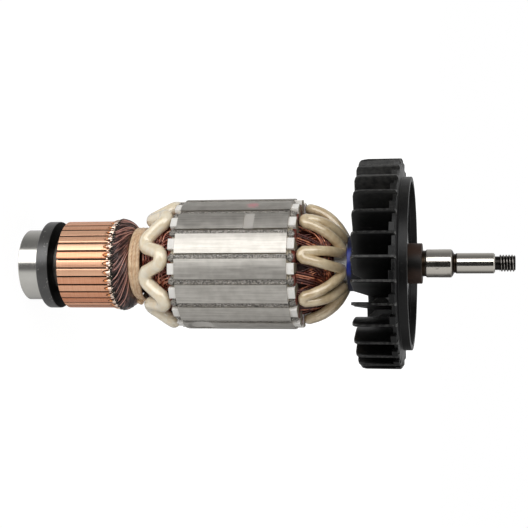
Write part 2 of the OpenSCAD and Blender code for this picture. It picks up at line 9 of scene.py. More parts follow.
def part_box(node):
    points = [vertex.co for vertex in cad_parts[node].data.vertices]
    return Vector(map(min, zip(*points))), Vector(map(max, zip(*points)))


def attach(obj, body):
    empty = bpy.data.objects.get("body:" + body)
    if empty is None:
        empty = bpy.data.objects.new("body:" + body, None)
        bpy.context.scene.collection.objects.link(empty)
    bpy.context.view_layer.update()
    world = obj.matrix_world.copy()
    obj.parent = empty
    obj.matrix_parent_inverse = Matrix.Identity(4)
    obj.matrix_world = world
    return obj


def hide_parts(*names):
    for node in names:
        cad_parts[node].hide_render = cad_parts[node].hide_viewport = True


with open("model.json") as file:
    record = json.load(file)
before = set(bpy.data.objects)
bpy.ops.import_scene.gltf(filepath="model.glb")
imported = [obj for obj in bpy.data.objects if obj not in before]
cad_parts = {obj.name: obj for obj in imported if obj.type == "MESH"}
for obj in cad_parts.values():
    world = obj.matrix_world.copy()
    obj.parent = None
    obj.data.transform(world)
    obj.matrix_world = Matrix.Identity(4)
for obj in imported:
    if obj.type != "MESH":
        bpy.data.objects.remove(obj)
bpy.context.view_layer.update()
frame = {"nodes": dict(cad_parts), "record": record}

# ---------------------------------------------------------------- shaft
# A stepped bar of hardened steel, turned and then ground at the two seats. Narrow necks lie beside
# the seats, and the pinion's nut goes on the rolled thread at the tip. Lengths are in millimetres
# unless they say metres, and angles in degrees about the shaft from the -Y side.

MM = 0.001
HARD = 38


def heights(node):
    """Lowest and highest place of a CAD node along the shaft, in millimetres."""
    low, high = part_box(node)
    return low.z / MM, high.z / MM


def reach(node):
    """Largest radius of a round CAD node, in millimetres."""
    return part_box(node)[1].x / MM


def seat(name):
    """Radius, lowest and highest place of a round mount, in millimetres."""
    made = next(m for m in frame["record"]["mounts"] if m["name"] == name)
    middle, half = made["pos_m"][2] / MM, made["dims"]["length_mm"] / 2
    return made["dims"]["r_mm"], middle - half, middle + half


def side(radius, angle, height):
    """A place at a radius, an angle in degrees and a height."""
    turn = math.radians(angle)
    return Vector((radius * math.sin(turn), -radius * math.cos(turn), height))


def linked(name, data):
    """A new object in the scene, at the origin."""
    made = bpy.data.objects.new(name, data)
    bpy.context.scene.collection.objects.link(made)
    return made


def made_of(name, points, faces, hard=HARD):
    """A piece at the origin from points in millimetres, smooth but for edges over an angle."""
    mesh = bpy.data.meshes.new(name)
    mesh.from_pydata([Vector(p) * MM for p in points], [], faces)
    mesh.shade_smooth()
    mesh.set_sharp_from_angle(angle=math.radians(hard))
    return linked(name, mesh)


def eased(outline, size, closed=False):
    """The same outline with its corners rounded off."""
    made = []
    for i, corner in enumerate(outline):
        if not closed and i in (0, len(outline) - 1):
            made.append(corner)
            continue
        corner = Vector(corner)
        before = Vector(outline[i - 1]) - corner
        after = Vector(outline[(i + 1) % len(outline)]) - corner
        start = corner + before.normalized() * min(size, before.length * 0.45)
        end = corner + after.normalized() * min(size, after.length * 0.45)
        for t in (0, 0.3, 0.7, 1):
            made.append(tuple(start * (1 - t) ** 2 + corner * 2 * t * (1 - t) + end * t * t))
    return made


def turned(name, outline, around=96, cut=None):
    """A lathe piece from its (radius, height) outline, up the outside and down any inside."""
    points, rows = [], []
    for radius, height in outline:
        if radius == 0:
            rows.append([len(points)] * around)
            points.append((0, 0, height))
            continue
        rows.append([len(points) + i for i in range(around)])
        for i in range(around):
            angle = 360 * i / around
            here = cut(radius, angle, height) if cut else radius
            points.append(side(here, angle, height))
    if outline[0][0] > 0:
        rows.append(rows[0])
    faces = []
    for below, above in zip(rows, rows[1:]):
        for i in range(around):
            j = (i + 1) % around
            faces.append(list(dict.fromkeys([below[i], below[j], above[j], above[i]])))
    return made_of(name, points, faces)


class Plug:
    """A socket in a node tree. Arithmetic with it adds Math nodes to that tree."""

    def __init__(self, tree, socket):
        self.tree, self.socket = tree, socket

    def node(self, kind, inputs, out=0, stops=(), **settings):
        """Adds a node of any kind: its settings first, then its sockets' values or links."""
        made = self.tree.nodes.new(kind)
        for name, value in settings.items():
            setattr(made, name, value)
        for i, (place, shade) in enumerate(stops):
            if i >= len(made.color_ramp.elements):
                made.color_ramp.elements.new(1)
            made.color_ramp.elements[i].position = place
            made.color_ramp.elements[i].color = shade
        for name, value in inputs.items():
            if isinstance(value, Plug):
                self.tree.links.new(value.socket, made.inputs[name])
            else:
                made.inputs[name].default_value = value
        return Plug(self.tree, made.outputs[out])

    def maths(self, operation, *others):
        """A Math node whose first value is this one."""
        return self.node("ShaderNodeMath", dict(enumerate((self, *others))), operation=operation)

    def vector(self, operation, *others, out=0):
        """A Vector Math node whose first place is this one; its second output is a number."""
        return self.node("ShaderNodeVectorMath", dict(enumerate((self, *others))), out, operation=operation)

    def __add__(self, other):
        return self.maths("ADD", other)

    def __sub__(self, other):
        return self.maths("SUBTRACT", other)

    def __rsub__(self, other):
        return self.node("ShaderNodeMath", {0: other, 1: self}, operation="SUBTRACT")

    def __mul__(self, other):
        return self.maths("MULTIPLY", other)

    def __truediv__(self, other):
        return self.maths("DIVIDE", other)

    def __rtruediv__(self, other):
        return self.node("ShaderNodeMath", {0: other, 1: self}, operation="DIVIDE")

    def __pow__(self, other):
        return self.maths("POWER", other)

    def __mod__(self, other):
        return self.maths("FLOORED_MODULO", other)

    def __abs__(self):
        return self.maths("ABSOLUTE")

    __radd__ = __add__
    __rmul__ = __mul__

    def rise(self, low, high):
        """0 below low and 1 above high, with a soft step between them."""
        sockets = {"Value": self, "From Min": low, "From Max": high}
        return self.node("ShaderNodeMapRange", sockets, interpolation_type="SMOOTHSTEP")

    def blend(self, low, high):
        """A colour between two others, plugs or hex codes, as this value goes from 0 to 1."""
        low, high = (colour(shade) if isinstance(shade, str) else shade for shade in (low, high))
        return self.node("ShaderNodeMix", {0: self, 6: low, 7: high}, out=2, data_type="RGBA")

    def stretch(self, x, y, z):
        """This place with its three parts multiplied."""
        return self.vector("MULTIPLY", (x, y, z))

    def part(self, letter):
        """One part of this place."""
        return self.node("ShaderNodeSeparateXYZ", {0: self}, out="XYZ".index(letter))

    def joined(self, **parts):
        """A place from its parts."""
        return self.node("ShaderNodeCombineXYZ", parts)

    def turn(self):
        """The angle of this place about the shaft, in radians."""
        return self.part("X").maths("ARCTAN2", self.part("Y") * -1)

    def around(self, radius, height):
        """The place at this angle in radians, a radius and a height."""
        return self.joined(X=self.maths("SINE") * radius, Y=self.maths("COSINE") * radius * -1, Z=height)

    def reach(self):
        """The distance of this place from the shaft's middle line."""
        return (self.part("X") ** 2 + self.part("Y") ** 2) ** 0.5

    def grain(self, size, detail=2.0):
        """Cloudy noise over this place, with blots of about a size in millimetres."""
        sockets = {"Vector": self, "Scale": 1 / size, "Detail": detail}
        return self.node("ShaderNodeTexNoise", sockets)

    def chance(self, seed):
        """A number from -1 to 1, drawn at random for each value of this one."""
        sockets = {"ID": self, "Seed": seed, 2: -1.0, 3: 1.0}
        return self.node("FunctionNodeRandomValue", sockets, out=1, data_type="FLOAT")

    def relief(self, depth):
        """The normal of a surface whose height is this value times a depth in millimetres."""
        return self.node("ShaderNodeBump", {"Height": self, "Distance": depth * MM})


def colour(code):
    """A colour written in hex, as linear light."""
    parts = [int(code[i : i + 2], 16) / 255 for i in (1, 3, 5)]
    return (*[c / 12.92 if c <= 0.04045 else ((c + 0.055) / 1.055) ** 2.4 for c in parts], 1)


def finish(name, fixed, varied):
    """A material from sockets with one value each, and those that varied(place) works out."""
    material = bpy.data.materials.new(name)
    material.use_nodes = True
    tree = material.node_tree
    shader = tree.nodes["Principled BSDF"]
    for socket, value in fixed.items():
        shader.inputs[socket].default_value = value
    place = Plug(tree, tree.nodes.new("ShaderNodeTexCoord").outputs["Object"])
    for socket, plug in varied(place.stretch(1 / MM, 1 / MM, 1 / MM)).items():
        tree.links.new(plug.socket, shader.inputs[socket])
    return material


def settle(piece, material, slot, *nodes, body="armature"):
    """Gives a piece its material and its body, and hides the CAD nodes that it stands for; slot is not used.
    """
    piece.data.materials.clear()
    piece.data.materials.append(material)
    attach(piece, body)
    if nodes:
        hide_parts(*nodes)


seat_r, seat_low, seat_high = seat("front_bearing_seat")
pinion_r, pinion_low, pinion_high = seat("pinion_seat")
thread_r, thread_low, thread_high = seat("end_thread")
shaft_low = heights("shaft")[0]
bearing_top = heights("bearing_inner_ring")[1]
collar_top = heights("front_collar")[1]
body_r = reach("shaft")
journal_r = 4.48
thread_pitch = 1.0
thread_depth = 0.58
thread_rows = 66


def rolled_thread(radius, angle, height):
    """Cuts the helical groove into the rows of the tip."""
    if not thread_low < height < thread_high:
        return radius
    turns = ((height - thread_low) / thread_pitch - angle / 360) % 1
    slope = min(max((abs(turns - 0.5) * 2 - 0.14) / 0.74, 0), 1)
    return min(radius, thread_r - thread_depth * slope)


shaft_outline = eased([
    (0, shaft_low), (journal_r - 0.5, shaft_low), (journal_r, shaft_low + 0.5),
    (journal_r, bearing_top), (body_r - 0.1, bearing_top), (body_r, bearing_top + 0.2),
    (body_r, collar_top), (seat_r - 0.4, collar_top), (seat_r - 0.4, seat_low - 0.25),
    (seat_r, seat_low), (seat_r, seat_high), (seat_r - 0.5, seat_high + 0.5),
    (pinion_r - 0.25, seat_high + 1.1), (pinion_r - 0.25, pinion_low - 0.25),
    (pinion_r, pinion_low), (pinion_r, pinion_high + 0.1), (pinion_r - 0.5, pinion_high + 0.6),
    (thread_r - 0.6, pinion_high + 0.6), (thread_r - 0.6, thread_low - 0.05),
], 0.08)
thread_outline = [
    (min(thread_r, thread_r - 0.55 + (thread_high - z) * 1.1), z)
    for z in (thread_low + (thread_high - thread_low) * i / thread_rows for i in range(thread_rows + 1))
]
shaft_outline += thread_outline + [(0, thread_high)]


def ground_steel(place):
    height = place.part("Z")
    rings = place.stretch(0.04, 0.04, 6).grain(1)
    stain = height.rise(seat_high - 0.1, seat_high + 0.5) - height.rise(pinion_low + 0.1, pinion_low + 0.4)
    stain = stain + 1 - height.rise(seat_low - 0.5, seat_low - 0.1)
    tip = height.rise(pinion_high - 0.1, pinion_high + 0.8)
    smudge = place.stretch(1, 1, 0.5).grain(1.6, 3).rise(0.56, 0.72)
    smudge = smudge * (1 - height.rise(seat_high, seat_high + 0.2))
    clean = rings.blend("#c6c0b6", "#d6d1c8")
    stained = (stain + smudge * 0.4).blend(clean, "#352b22")
    # The thread is painted dark down in its grooves and pale on its crests: painted shade in the grooves.
    crest_over_groove_shade = place.reach().rise(thread_r - 0.45, thread_r - 0.05)
    return {
        "Base Color": tip.blend(stained, crest_over_groove_shade.blend("#2b2927", "#9c9893")),
        "Roughness": 0.1 + rings * 0.07 + stain * 0.2 + tip * 0.14,
        "Normal": rings.relief(0.0012),
    }


settle(turned("shaft_ground", shaft_outline, cut=rolled_thread),
       finish("ground_steel", {"Metallic": 1.0}, ground_steel), "ground_steel", "shaft")

# --------------------------------------------------------- ball bearing
# A sealed deep-groove ball bearing pressed on the shaft's end: two rings of hardened steel with
# ground outsides, seven balls in a pressed steel cage, and a black rubber seal at either side.


def coat(node, material):
    """Gives a CAD node's own object a material."""
    for slot in frame["nodes"][node].material_slots:
        slot.material = material


def bearing_steel(place):
    rings = place.stretch(0.03, 0.03, 5).grain(1)
    smudge = place.grain(6)
    return {
        "Base Color": smudge.blend("#c8c6c0", "#d8d6d0"),
        "Roughness": 0.11 + rings * 0.05 + smudge * 0.05,
        "Normal": rings.relief(0.001),
    }


def pressed_steel(place):
    return {"Roughness": 0.3 + place.grain(1.5) * 0.2}


def seal_rubber(place):
    return {"Roughness": 0.5 + place.grain(0.8) * 0.15, "Normal": place.grain(0.3).relief(0.01)}


steel_of_bearing = finish("bearing_steel", {"Metallic": 1.0}, bearing_steel)
coat("bearing_inner_ring", steel_of_bearing)
coat("bearing_outer_ring", steel_of_bearing)
coat("bearing_balls", steel_of_bearing)
coat("bearing_cage", finish("cage_steel", {"Metallic": 1.0, "Base Color": colour("#a3a19c")}, pressed_steel))
rubber = finish("seal_rubber", {"Base Color": colour("#191918")}, seal_rubber)
coat("bearing_outer_seal", rubber)
coat("bearing_inner_seal", rubber)

# ------------------------------------------------------------ dust ring
# A ring moulded in hard black resin, pushed on the shaft between the bearing and the commutator,
# where it keeps carbon dust out of the bearing. A few pale specks of dust lie on its surface.

ring_low, ring_high = heights("dust_ring")
ring_r = reach("dust_ring")
ring_mouth_r, ring_floor = 7.0, bearing_top + 0.2
bore_r = body_r + 0.02


def black_resin(place):
    fleck = place.grain(0.5, 1).rise(0.72, 0.76)
    cloud = place.grain(2)
    # The face towards the commutator is painted near black and left without coat: painted shade in the gap
    # before the bars.
    rim_over_face_shade = 1 - place.part("Z").rise(ring_high - 0.25, ring_high - 0.05)
    grey = fleck.blend(cloud.blend("#262524", "#2e2d2b"), "#c9c6c0")
    return {
        "Base Color": rim_over_face_shade.blend("#030302", grey),
        "Roughness": 0.5 + cloud * 0.16,
        "Coat Weight": rim_over_face_shade,
        "Normal": place.grain(0.25).relief(0.01),
    }


resin_fixed = {"Specular IOR Level": 0.1, "Coat IOR": 1.75, "Coat Roughness": 0.34}
ring_outline = eased([
    (bore_r, ring_low), (ring_mouth_r, ring_low), (ring_mouth_r, ring_floor), (ring_r - 0.25, ring_floor),
    (ring_r, ring_floor + 0.25), (ring_r, ring_high - 0.3), (ring_r - 0.3, ring_high), (bore_r, ring_high),
], 0.22, closed=True)
settle(turned("dust_ring_moulded", ring_outline, 128), finish("black_resin", resin_fixed, black_resin),
       "black_ring", "dust_ring")

# ----------------------------------------------- commutator's carrier
# The commutator is moulded: a steel bush on the shaft, brown phenolic resin around it, and thin
# mica between the bars, cut back so that the brushes run on copper alone.


def mottled(name, blot, low, high, rough, relief=None, **fixed):
    """A cloudy finish between two colours. rough is (least, spread, blot) and relief (depth, blot)."""

    def shades(place):
        least, spread, rough_blot = rough
        sockets = {"Base Color": place.grain(blot).blend(low, high),
                   "Roughness": least + place.grain(rough_blot) * spread}
        if relief:
            sockets["Normal"] = place.grain(relief[1]).relief(relief[0])
        return sockets

    return finish(name, {socket.replace("_", " "): value for socket, value in fixed.items()}, shades)


def turned_steel(place):
    rings = place.stretch(0.05, 0.05, 3).grain(1)
    return {"Base Color": rings.blend("#8e8b84", "#c9c5bd"), "Roughness": 0.25 + rings * 0.15}


coat("commutator_bush", finish("turned_steel", {"Metallic": 1.0}, turned_steel))
coat("commutator_moulding", mottled("phenolic", 1.2, "#2c1711", "#43261a", (0.5, 0.2, 0.4)))
coat("mica_segments", mottled("sooty_mica", 1.5, "#160a04", "#33190b", (0.6, 0.2, 1.5)))

# --------------------------------------------------------- copper bars
# Thirty-two bars of hard-drawn copper, held in the moulding and turned to one track. Past the
# track each bar is darker in a tongue that reaches in around its hook's tip.

BARS = [name for name in frame["nodes"] if name.startswith("commutator_bar_")]
bar_low, bar_high = heights(BARS[0])
track_r = seat("brush_track")[0]
track_top = seat("brush_track")[2]
bar_depth = 4.2
bar_gap = 0.55
bar_step = 360 / len(BARS)
first_bar = 10.1


def bar_copper(place):
    place_in_row = (place.turn() * (180 / math.pi) - first_bar) / bar_step + 0.5
    number = place_in_row.maths("FLOOR")
    own = number.node("ShaderNodeTexWhiteNoise", {"W": number + 7.3}, noise_dimensions="1D")
    rings = place.stretch(0.05, 0.05, 4).grain(1)
    stripe = place.stretch(3, 3, 0.12).grain(1)
    tone = own * 0.45 + rings * 0.25 + stripe * 0.3
    across = (place_in_row % 1 - 0.5) * math.radians(bar_step) * track_r
    # Past the track each bar is darker brown and rougher in a V-shaped tongue around its hook's tip.
    tongue = place.part("Z") + place.grain(0.5) * 0.5 - 0.25 - across * across * 1.9
    dark_tongue = tongue.rise(track_top + 0.3, track_top + 0.5)
    edge = place.part("Z").rise(track_top - 0.6, track_top + 0.6) * place.grain(0.7).rise(0.45, 0.65)
    bright = tone.rise(0.2, 0.8).blend("#dc8e68", "#ffcaa6")
    # Below the turned outside, on the bars' sides and ends, the copper is painted dark brown: painted shade
    # in the gaps between the bars.
    outside = place.reach().rise(track_r - 0.16, track_r - 0.05)
    worn = (edge * 0.5).blend(bright, "#b06e3c")
    return {
        "Base Color": dark_tongue.blend(outside.blend("#2a120a", worn), "#44200f"),
        "Roughness": 0.24 + rings * 0.08 + own * 0.08 + dark_tongue * 0.2,
        "Normal": (rings + stripe).relief(0.004),
    }


def skinned(name, rings, hard, closed=False):
    """A piece with faces between rings of points that run anticlockwise, seen from the last ring."""
    around, count = len(rings[0]), len(rings)
    faces = []
    for i in range(count if closed else count - 1):
        here, there = i * around, (i + 1) % count * around
        for j in range(around):
            k = (j + 1) % around
            faces.append([here + j, here + k, there + k, there + j])
    if not closed:
        faces.append(list(reversed(range(around))))
        faces.append([(count - 1) * around + j for j in range(around)])
    return made_of(name, [point for ring in rings for point in ring], faces, hard)


def bar_motif():
    """One bar on the -Y side, with its edges eased."""
    half = bar_step / 2 - math.degrees(bar_gap / 2 / track_r)
    ease = math.degrees(0.12 / track_r)
    profile = [(track_r - bar_depth, -half), (track_r - 0.14, -half), (track_r - 0.04, ease * 0.3 - half)]
    profile += [(track_r, (ease - half) * share) for share in (1, 0.5, 0, -0.5, -1)]
    profile += [(radius, -angle) for radius, angle in reversed(profile[:3])]
    rows = ((bar_low, 0.15), (bar_low + 0.15, 0), (bar_high - 0.3, 0), (bar_high, 0.3))
    rings = [[side(radius - inset, angle, height) for radius, angle in profile] for height, inset in rows]
    return skinned("bar", rings, 30)


def shape_tree(name, sizes, build):
    """A Geometry Nodes tree with named inputs; build gets a plug for each and returns the result."""
    tree = bpy.data.node_groups.new(name, "GeometryNodeTree")
    tree.interface.new_socket("Motif", in_out="INPUT", socket_type="NodeSocketGeometry")
    tree.interface.new_socket("Piece", in_out="OUTPUT", socket_type="NodeSocketGeometry")
    for label, value in sizes.items():
        kind = "NodeSocketInt" if isinstance(value, int) else "NodeSocketFloat"
        tree.interface.new_socket(label, in_out="INPUT", socket_type=kind).default_value = value
    entry = tree.nodes.new("NodeGroupInput")
    plugs = {socket.name: Plug(tree, socket) for socket in entry.outputs if socket.name}
    result = build(plugs)
    leave = tree.nodes.new("NodeGroupOutput")
    tree.links.new(result.socket, leave.inputs["Piece"])
    return tree


def grown(name, tree, sizes, motif=None):
    """Runs a tree on a motif with these sizes, and returns the result as a plain piece."""
    piece = motif or linked(name, bpy.data.meshes.new(name))
    modifier = piece.modifiers.new("shape", "NODES")
    modifier.node_group = tree
    for item in tree.interface.items_tree:
        if item.in_out == "INPUT" and item.name in sizes:
            modifier[item.identifier] = sizes[item.name]
    graph = bpy.context.evaluated_depsgraph_get()
    mesh = bpy.data.meshes.new_from_object(piece.evaluated_get(graph))
    piece.modifiers.remove(modifier)
    piece.name, piece.data, mesh.name = name, mesh, name
    return piece


def finished(result, material):
    """The last nodes of every tree: real meshes with one material."""
    real = result.node("GeometryNodeRealizeInstances", {"Geometry": result})
    return real.node("GeometryNodeSetMaterial", {"Geometry": real, "Material": material})


def ringed(name, motif, material, slot, *nodes, sizes):
    """Sets copies of a motif around the shaft with these sizes, as one piece."""

    def build(plug):
        count = plug["Count"]
        spots = count.node("GeometryNodePoints", {"Count": count})
        number = count.node("GeometryNodeInputIndex", {})
        swing = number.chance(plug["Seed"])
        angle = plug["First Angle"] + number * (360 / count) + swing * plug["Angle Spread"]
        size = 1 - (swing + 1) * plug["Size Spread"]
        sockets = {
            "Points": spots, "Instance": plug["Motif"],
            "Rotation": angle.joined(Z=angle * (math.pi / 180)), "Scale": size.joined(X=size, Y=size, Z=1.0),
        }
        return finished(count.node("GeometryNodeInstanceOnPoints", sockets), material)

    inputs = {"Count": 1, "First Angle": 0.0, "Angle Spread": 0.0, "Size Spread": 0.0, "Seed": 1}
    settle(grown(name, shape_tree(name, inputs, build), sizes, motif), material, slot, *nodes)


copper = finish("bar_copper", {"Metallic": 0.72}, bar_copper)
bar_sizes = {"Count": len(BARS), "First Angle": first_bar, "Seed": 3}
ringed("bars_turned", bar_motif(), copper, "commutator_copper", *BARS, sizes=bar_sizes)

# --------------------------------------------------------------- hooks
# Each bar ends in a hook that is folded back over its wires and fused, so it is bright with tin. The
# pale tin is laid thickest toward the fold, partly as a painted highlight. Beads of tin ran out of the
# hooks, and dark varnish set between them, thick enough to hide the bars' ends.


def tinned_copper(place):
    # The pale tin is real tin and partly a painted highlight, laid thickest toward the fold.
    fold_highlight_bias = place.part("Z").rise(track_top + 1.4, track_top + 3.0)
    # Low down, where the hook meets the bar, it is painted dark brown: painted shadow under the hook.
    crevice_shadow = 1 - place.reach().rise(track_r + 0.02, track_r + 0.16)
    tin_and_highlight = (place.grain(0.8) + fold_highlight_bias * 0.35).rise(0.52, 0.8)
    soot_and_shade = place.grain(0.6).rise(0.56, 0.68)
    metal = tin_and_highlight.blend("#e0955f", "#ffe6d4")
    return {
        "Base Color": (crevice_shadow * 0.85 + soot_and_shade * 0.5).blend(metal, "#4a2410"),
        "Roughness": 0.2 + soot_and_shade * 0.25,
        "Normal": place.grain(0.4).relief(0.06),
    }


def swept(name, stations, around=8, closed=False):
    """A bar that follows stations of (centre, outward side, half width, half height)."""
    rings, count = [], len(stations)
    for i, (centre, out, wide, high) in enumerate(stations):
        ahead = stations[(i + 1) % count if closed else min(i + 1, count - 1)][0]
        behind = stations[i - 1 if closed else max(i - 1, 0)][0]
        along = (ahead - behind).normalized()
        across = along.cross(out).normalized()
        up = across.cross(along)
        turns = [math.tau * j / around for j in range(around)]
        rings.append([centre + up * high * math.cos(t) + across * wide * math.sin(t) for t in turns])
    return skinned(name, rings, 60, closed)


def bent_out(name, path):
    """A bar on the -Y side through places of (height past the track, radius past it, width, height)."""
    return swept(name, [(side(track_r + out, 0, track_top + z), side(1, 0, 0), wide, high)
                        for z, out, wide, high in path])


def lump(name, centre, size, seed):
    """A rough drop around a centre on the -Y side."""
    points, faces, rings, around = [], [], 5, 8
    for i in range(rings + 1):
        lean = math.pi * i / rings
        for j in range(around if 0 < i < rings else 1):
            turn = math.tau * j / around
            level = math.sin(lean)
            ball = Vector((level * math.cos(turn), level * math.sin(turn), math.cos(lean)))
            swell = 0.9 + 0.45 * noise.noise(ball * 1.3 + Vector((seed, 0, 0)))
            points.append(centre + Vector(a * b for a, b in zip(ball, size)) * swell)
    for j in range(around):
        k = (j + 1) % around
        faces.append([0, 1 + j, 1 + k])
        for i in range(rings - 2):
            here, there = 1 + i * around, 1 + (i + 1) * around
            faces.append([here + j, there + j, there + k, here + k])
        last = 1 + (rings - 2) * around
        faces.append([last + k, last + j, len(points) - 1])
    return made_of(name, points, faces, 80)


def dull_tin(place):
    tone = place.grain(1.1).rise(0.32, 0.52)
    green = place.part("Z").rise(track_top + 3.6, track_top + 4.3)
    return {
        "Base Color": (tone * (1 - green * 0.6)).blend("#4c4a34", "#ffeadb"),
        "Roughness": 0.5 - tone * 0.28,
        "Normal": place.grain(0.3).relief(0.05),
    }


tin_and_highlight = finish("tinned_copper", {"Metallic": 1.0}, tinned_copper)
hook = bent_out("hook", [
    (0.75, -0.04, 0.14, 0.12), (1.05, 0.05, 0.38, 0.24), (1.6, 0.2, 0.57, 0.32), (2.4, 0.4, 0.7, 0.4),
    (3.2, 0.42, 0.76, 0.46), (3.7, 0.2, 0.72, 0.46), (4.0, -0.15, 0.6, 0.4),
])
hook_sizes = dict(bar_sizes, **{"Angle Spread": 0.4, "Size Spread": 0.002})
ringed("hooks_fused", hook, tin_and_highlight, "commutator_copper", sizes=hook_sizes)

# Each row of beads has a number for each bar, a height past the track, a size, an angle from the
# bars' middles and a distance outside the track.
BEAD_ROWS = ((1, 2.35, 0.5, bar_step / 2, 0.1), (2, 3.35, 0.52, 2.8, 0.46), (2, 4.05, 0.44, 0.4, 0.3))
beads_tin = finish("dull_tin", {"Metallic": 0.8}, dull_tin)
for row, (each, height, size, shift, lift) in enumerate(BEAD_ROWS):
    bead = lump("bead", side(track_r + lift, 0, track_top + height), (size * 1.1, size * 0.9, size), 4 + row)
    bead_sizes = {"Count": each * len(BARS), "First Angle": first_bar + shift, "Angle Spread": 1.0,
                  "Size Spread": 0.012, "Seed": 11 + row}
    ringed(f"hook_beads_{row}", bead, beads_tin, "commutator_copper", sizes=bead_sizes)

varnish = mottled("dark_varnish", 0.7, "#070804", "#22241a", (0.3, 0.3, 0.5), (0.08, 0.4),
                  Specular_IOR_Level=0.3)
web = bent_out("web", [
    (2.0, -0.4, 0.2, 0.2), (2.6, -0.3, 0.3, 0.3), (3.3, -0.15, 0.6, 0.5), (4.3, -0.15, 0.9, 0.7),
])
web_sizes = dict(hook_sizes, **{"First Angle": first_bar + bar_step / 2, "Seed": 5})
ringed("hook_varnish", web, varnish, "enamelled_wire", sizes=web_sizes)

# --------------------------------------------------- lamination stack
# Silicon-steel sheets pressed on the shaft, with sixteen slots. The outside is ground true, and
# two teeth carry milled cuts that balance the armature. A dab of pink paint marks it as balanced.

stack_low, stack_high = heights("core_stack")
stack_r = seat("stack_outside")[0]
TEETH = 16
tooth_step = 360 / TEETH
first_tooth = 4.2
first_slot = first_tooth + tooth_step / 2
paint_spot = side(stack_r, first_tooth - 3 * tooth_step + 1, stack_low + 25.9)


def ground_laminations(place):
    depth = place.part("X") ** 2 + place.part("Y") ** 2
    outside = depth.rise((stack_r - 0.45) ** 2, (stack_r - 0.25) ** 2)
    grind = place.stretch(1.6, 1.6, 0.05).grain(1, 3)
    sheet = abs((place.part("Z") * 2) % 1 - 0.5).rise(0.02, 0.12)
    worn = place.grain(3, 3)
    gap = place.vector("DISTANCE", tuple(paint_spot), out=1)
    paint = 1 - (gap + place.grain(0.9) * 3.2).rise(2.6, 4.2)
    paint = paint * 0.9 * place.grain(0.5).rise(0.3, 0.55)
    steel = (grind * 0.6 + worn * 0.4).rise(0.3, 0.7).blend("#b0aca5", "#cfcbc4")
    cut = outside.blend("#d8d4ce", steel)
    return {
        "Base Color": paint.blend(cut, "#d0868e"),
        "Metallic": 1 - paint * 0.8,
        "Roughness": 0.31 + grind * 0.16 + worn * 0.1 + (1 - outside) * 0.12,
        "Normal": (grind * 0.5 + sheet * 0.25).relief(0.006),
    }


coat("core_stack", finish("ground_laminations", {"Metallic": 1.0}, ground_laminations))

# --------------------------------------------------------- end plates
# White vulcanised fibre, punched to the shape of the stack, with one finger on each tooth. It
# keeps the wires off the sharp edges of the sheets.

PLATES = ("rear_end_plate", "front_end_plate")
plate_foot = heights(PLATES[0])[0]
plate_top = heights(PLATES[1])[1]


def white_fibre(place):
    stain = place.grain(1.6, 3).rise(0.55, 0.8)
    height = place.part("Z")
    ends = height.rise(plate_top - 0.14, plate_top - 0.04) + 1
    ends = ends - height.rise(plate_foot + 0.04, plate_foot + 0.14)
    pale = (stain * 0.5).blend("#f3f0ea", "#c8bda6")
    return {
        "Base Color": ends.blend(pale, stain.blend("#8d8473", "#5f5443")),
        "Roughness": 0.55 + place.grain(0.5) * 0.2,
        "Normal": place.grain(0.25, 3).relief(0.03),
    }


def softened(node, name, size):
    """A copy of a CAD node with its edges eased, as a piece of its own."""
    piece = linked(name, frame["nodes"][node].data.copy())
    weld = piece.modifiers.new("weld", "WELD")
    weld.merge_threshold = 0.002 * MM
    ease = piece.modifiers.new("ease", "BEVEL")
    ease.width, ease.segments, ease.angle_limit = size * MM, 2, math.radians(40)
    ease.use_clamp_overlap = False
    graph = bpy.context.evaluated_depsgraph_get()
    piece.data = bpy.data.meshes.new_from_object(piece.evaluated_get(graph))
    piece.modifiers.clear()
    piece.data.shade_smooth()
    piece.data.set_sharp_from_angle(angle=math.radians(HARD))
    return piece


fibre = finish("white_fibre", {}, white_fibre)
for node in PLATES:
    settle(softened(node, node + "_punched", 0.16), fibre, "white_fibre", node)

# ------------------------------------------------- slot lining and fill
# Each slot is lined with varnished paper and packed with wire. Its mouth is closed with gritty
# grey trickle resin, which also stands in lumps between the fingers at both ends.


def gritty_resin(place):
    grit = place.grain(0.55, 3)
    # Small near-white crumbs are grit in the resin and partly painted glints on its lumps.
    crumb_and_glint = place.grain(0.32, 1).rise(0.6, 0.68)
    body = grit.rise(0.3, 0.7).blend("#2b2825", "#a39d94")
    return {
        "Base Color": (crumb_and_glint * 0.8).blend(body, "#f2eee8"),
        "Roughness": 0.22 + grit * 0.35,
        "Normal": grit.relief(0.18),
    }


coat("slot_liners", mottled("slot_paper", 1.5, "#a89a80", "#cfc6b2", (0.6, 0.2, 0.5)))
coat("slot_conductors",
     mottled("packed_wire", 0.6, "#3b100a", "#8a3a22", (0.3, 0.2, 0.5), (0.2, 0.5), Coat_Weight=0.4))
resin = finish("gritty_resin", {}, gritty_resin)
mouth_w = 1.62
mouth_shift = 0.45
fill_depth = 1.0
fill_inset = 0.42
drop_r = stack_r - 1.8


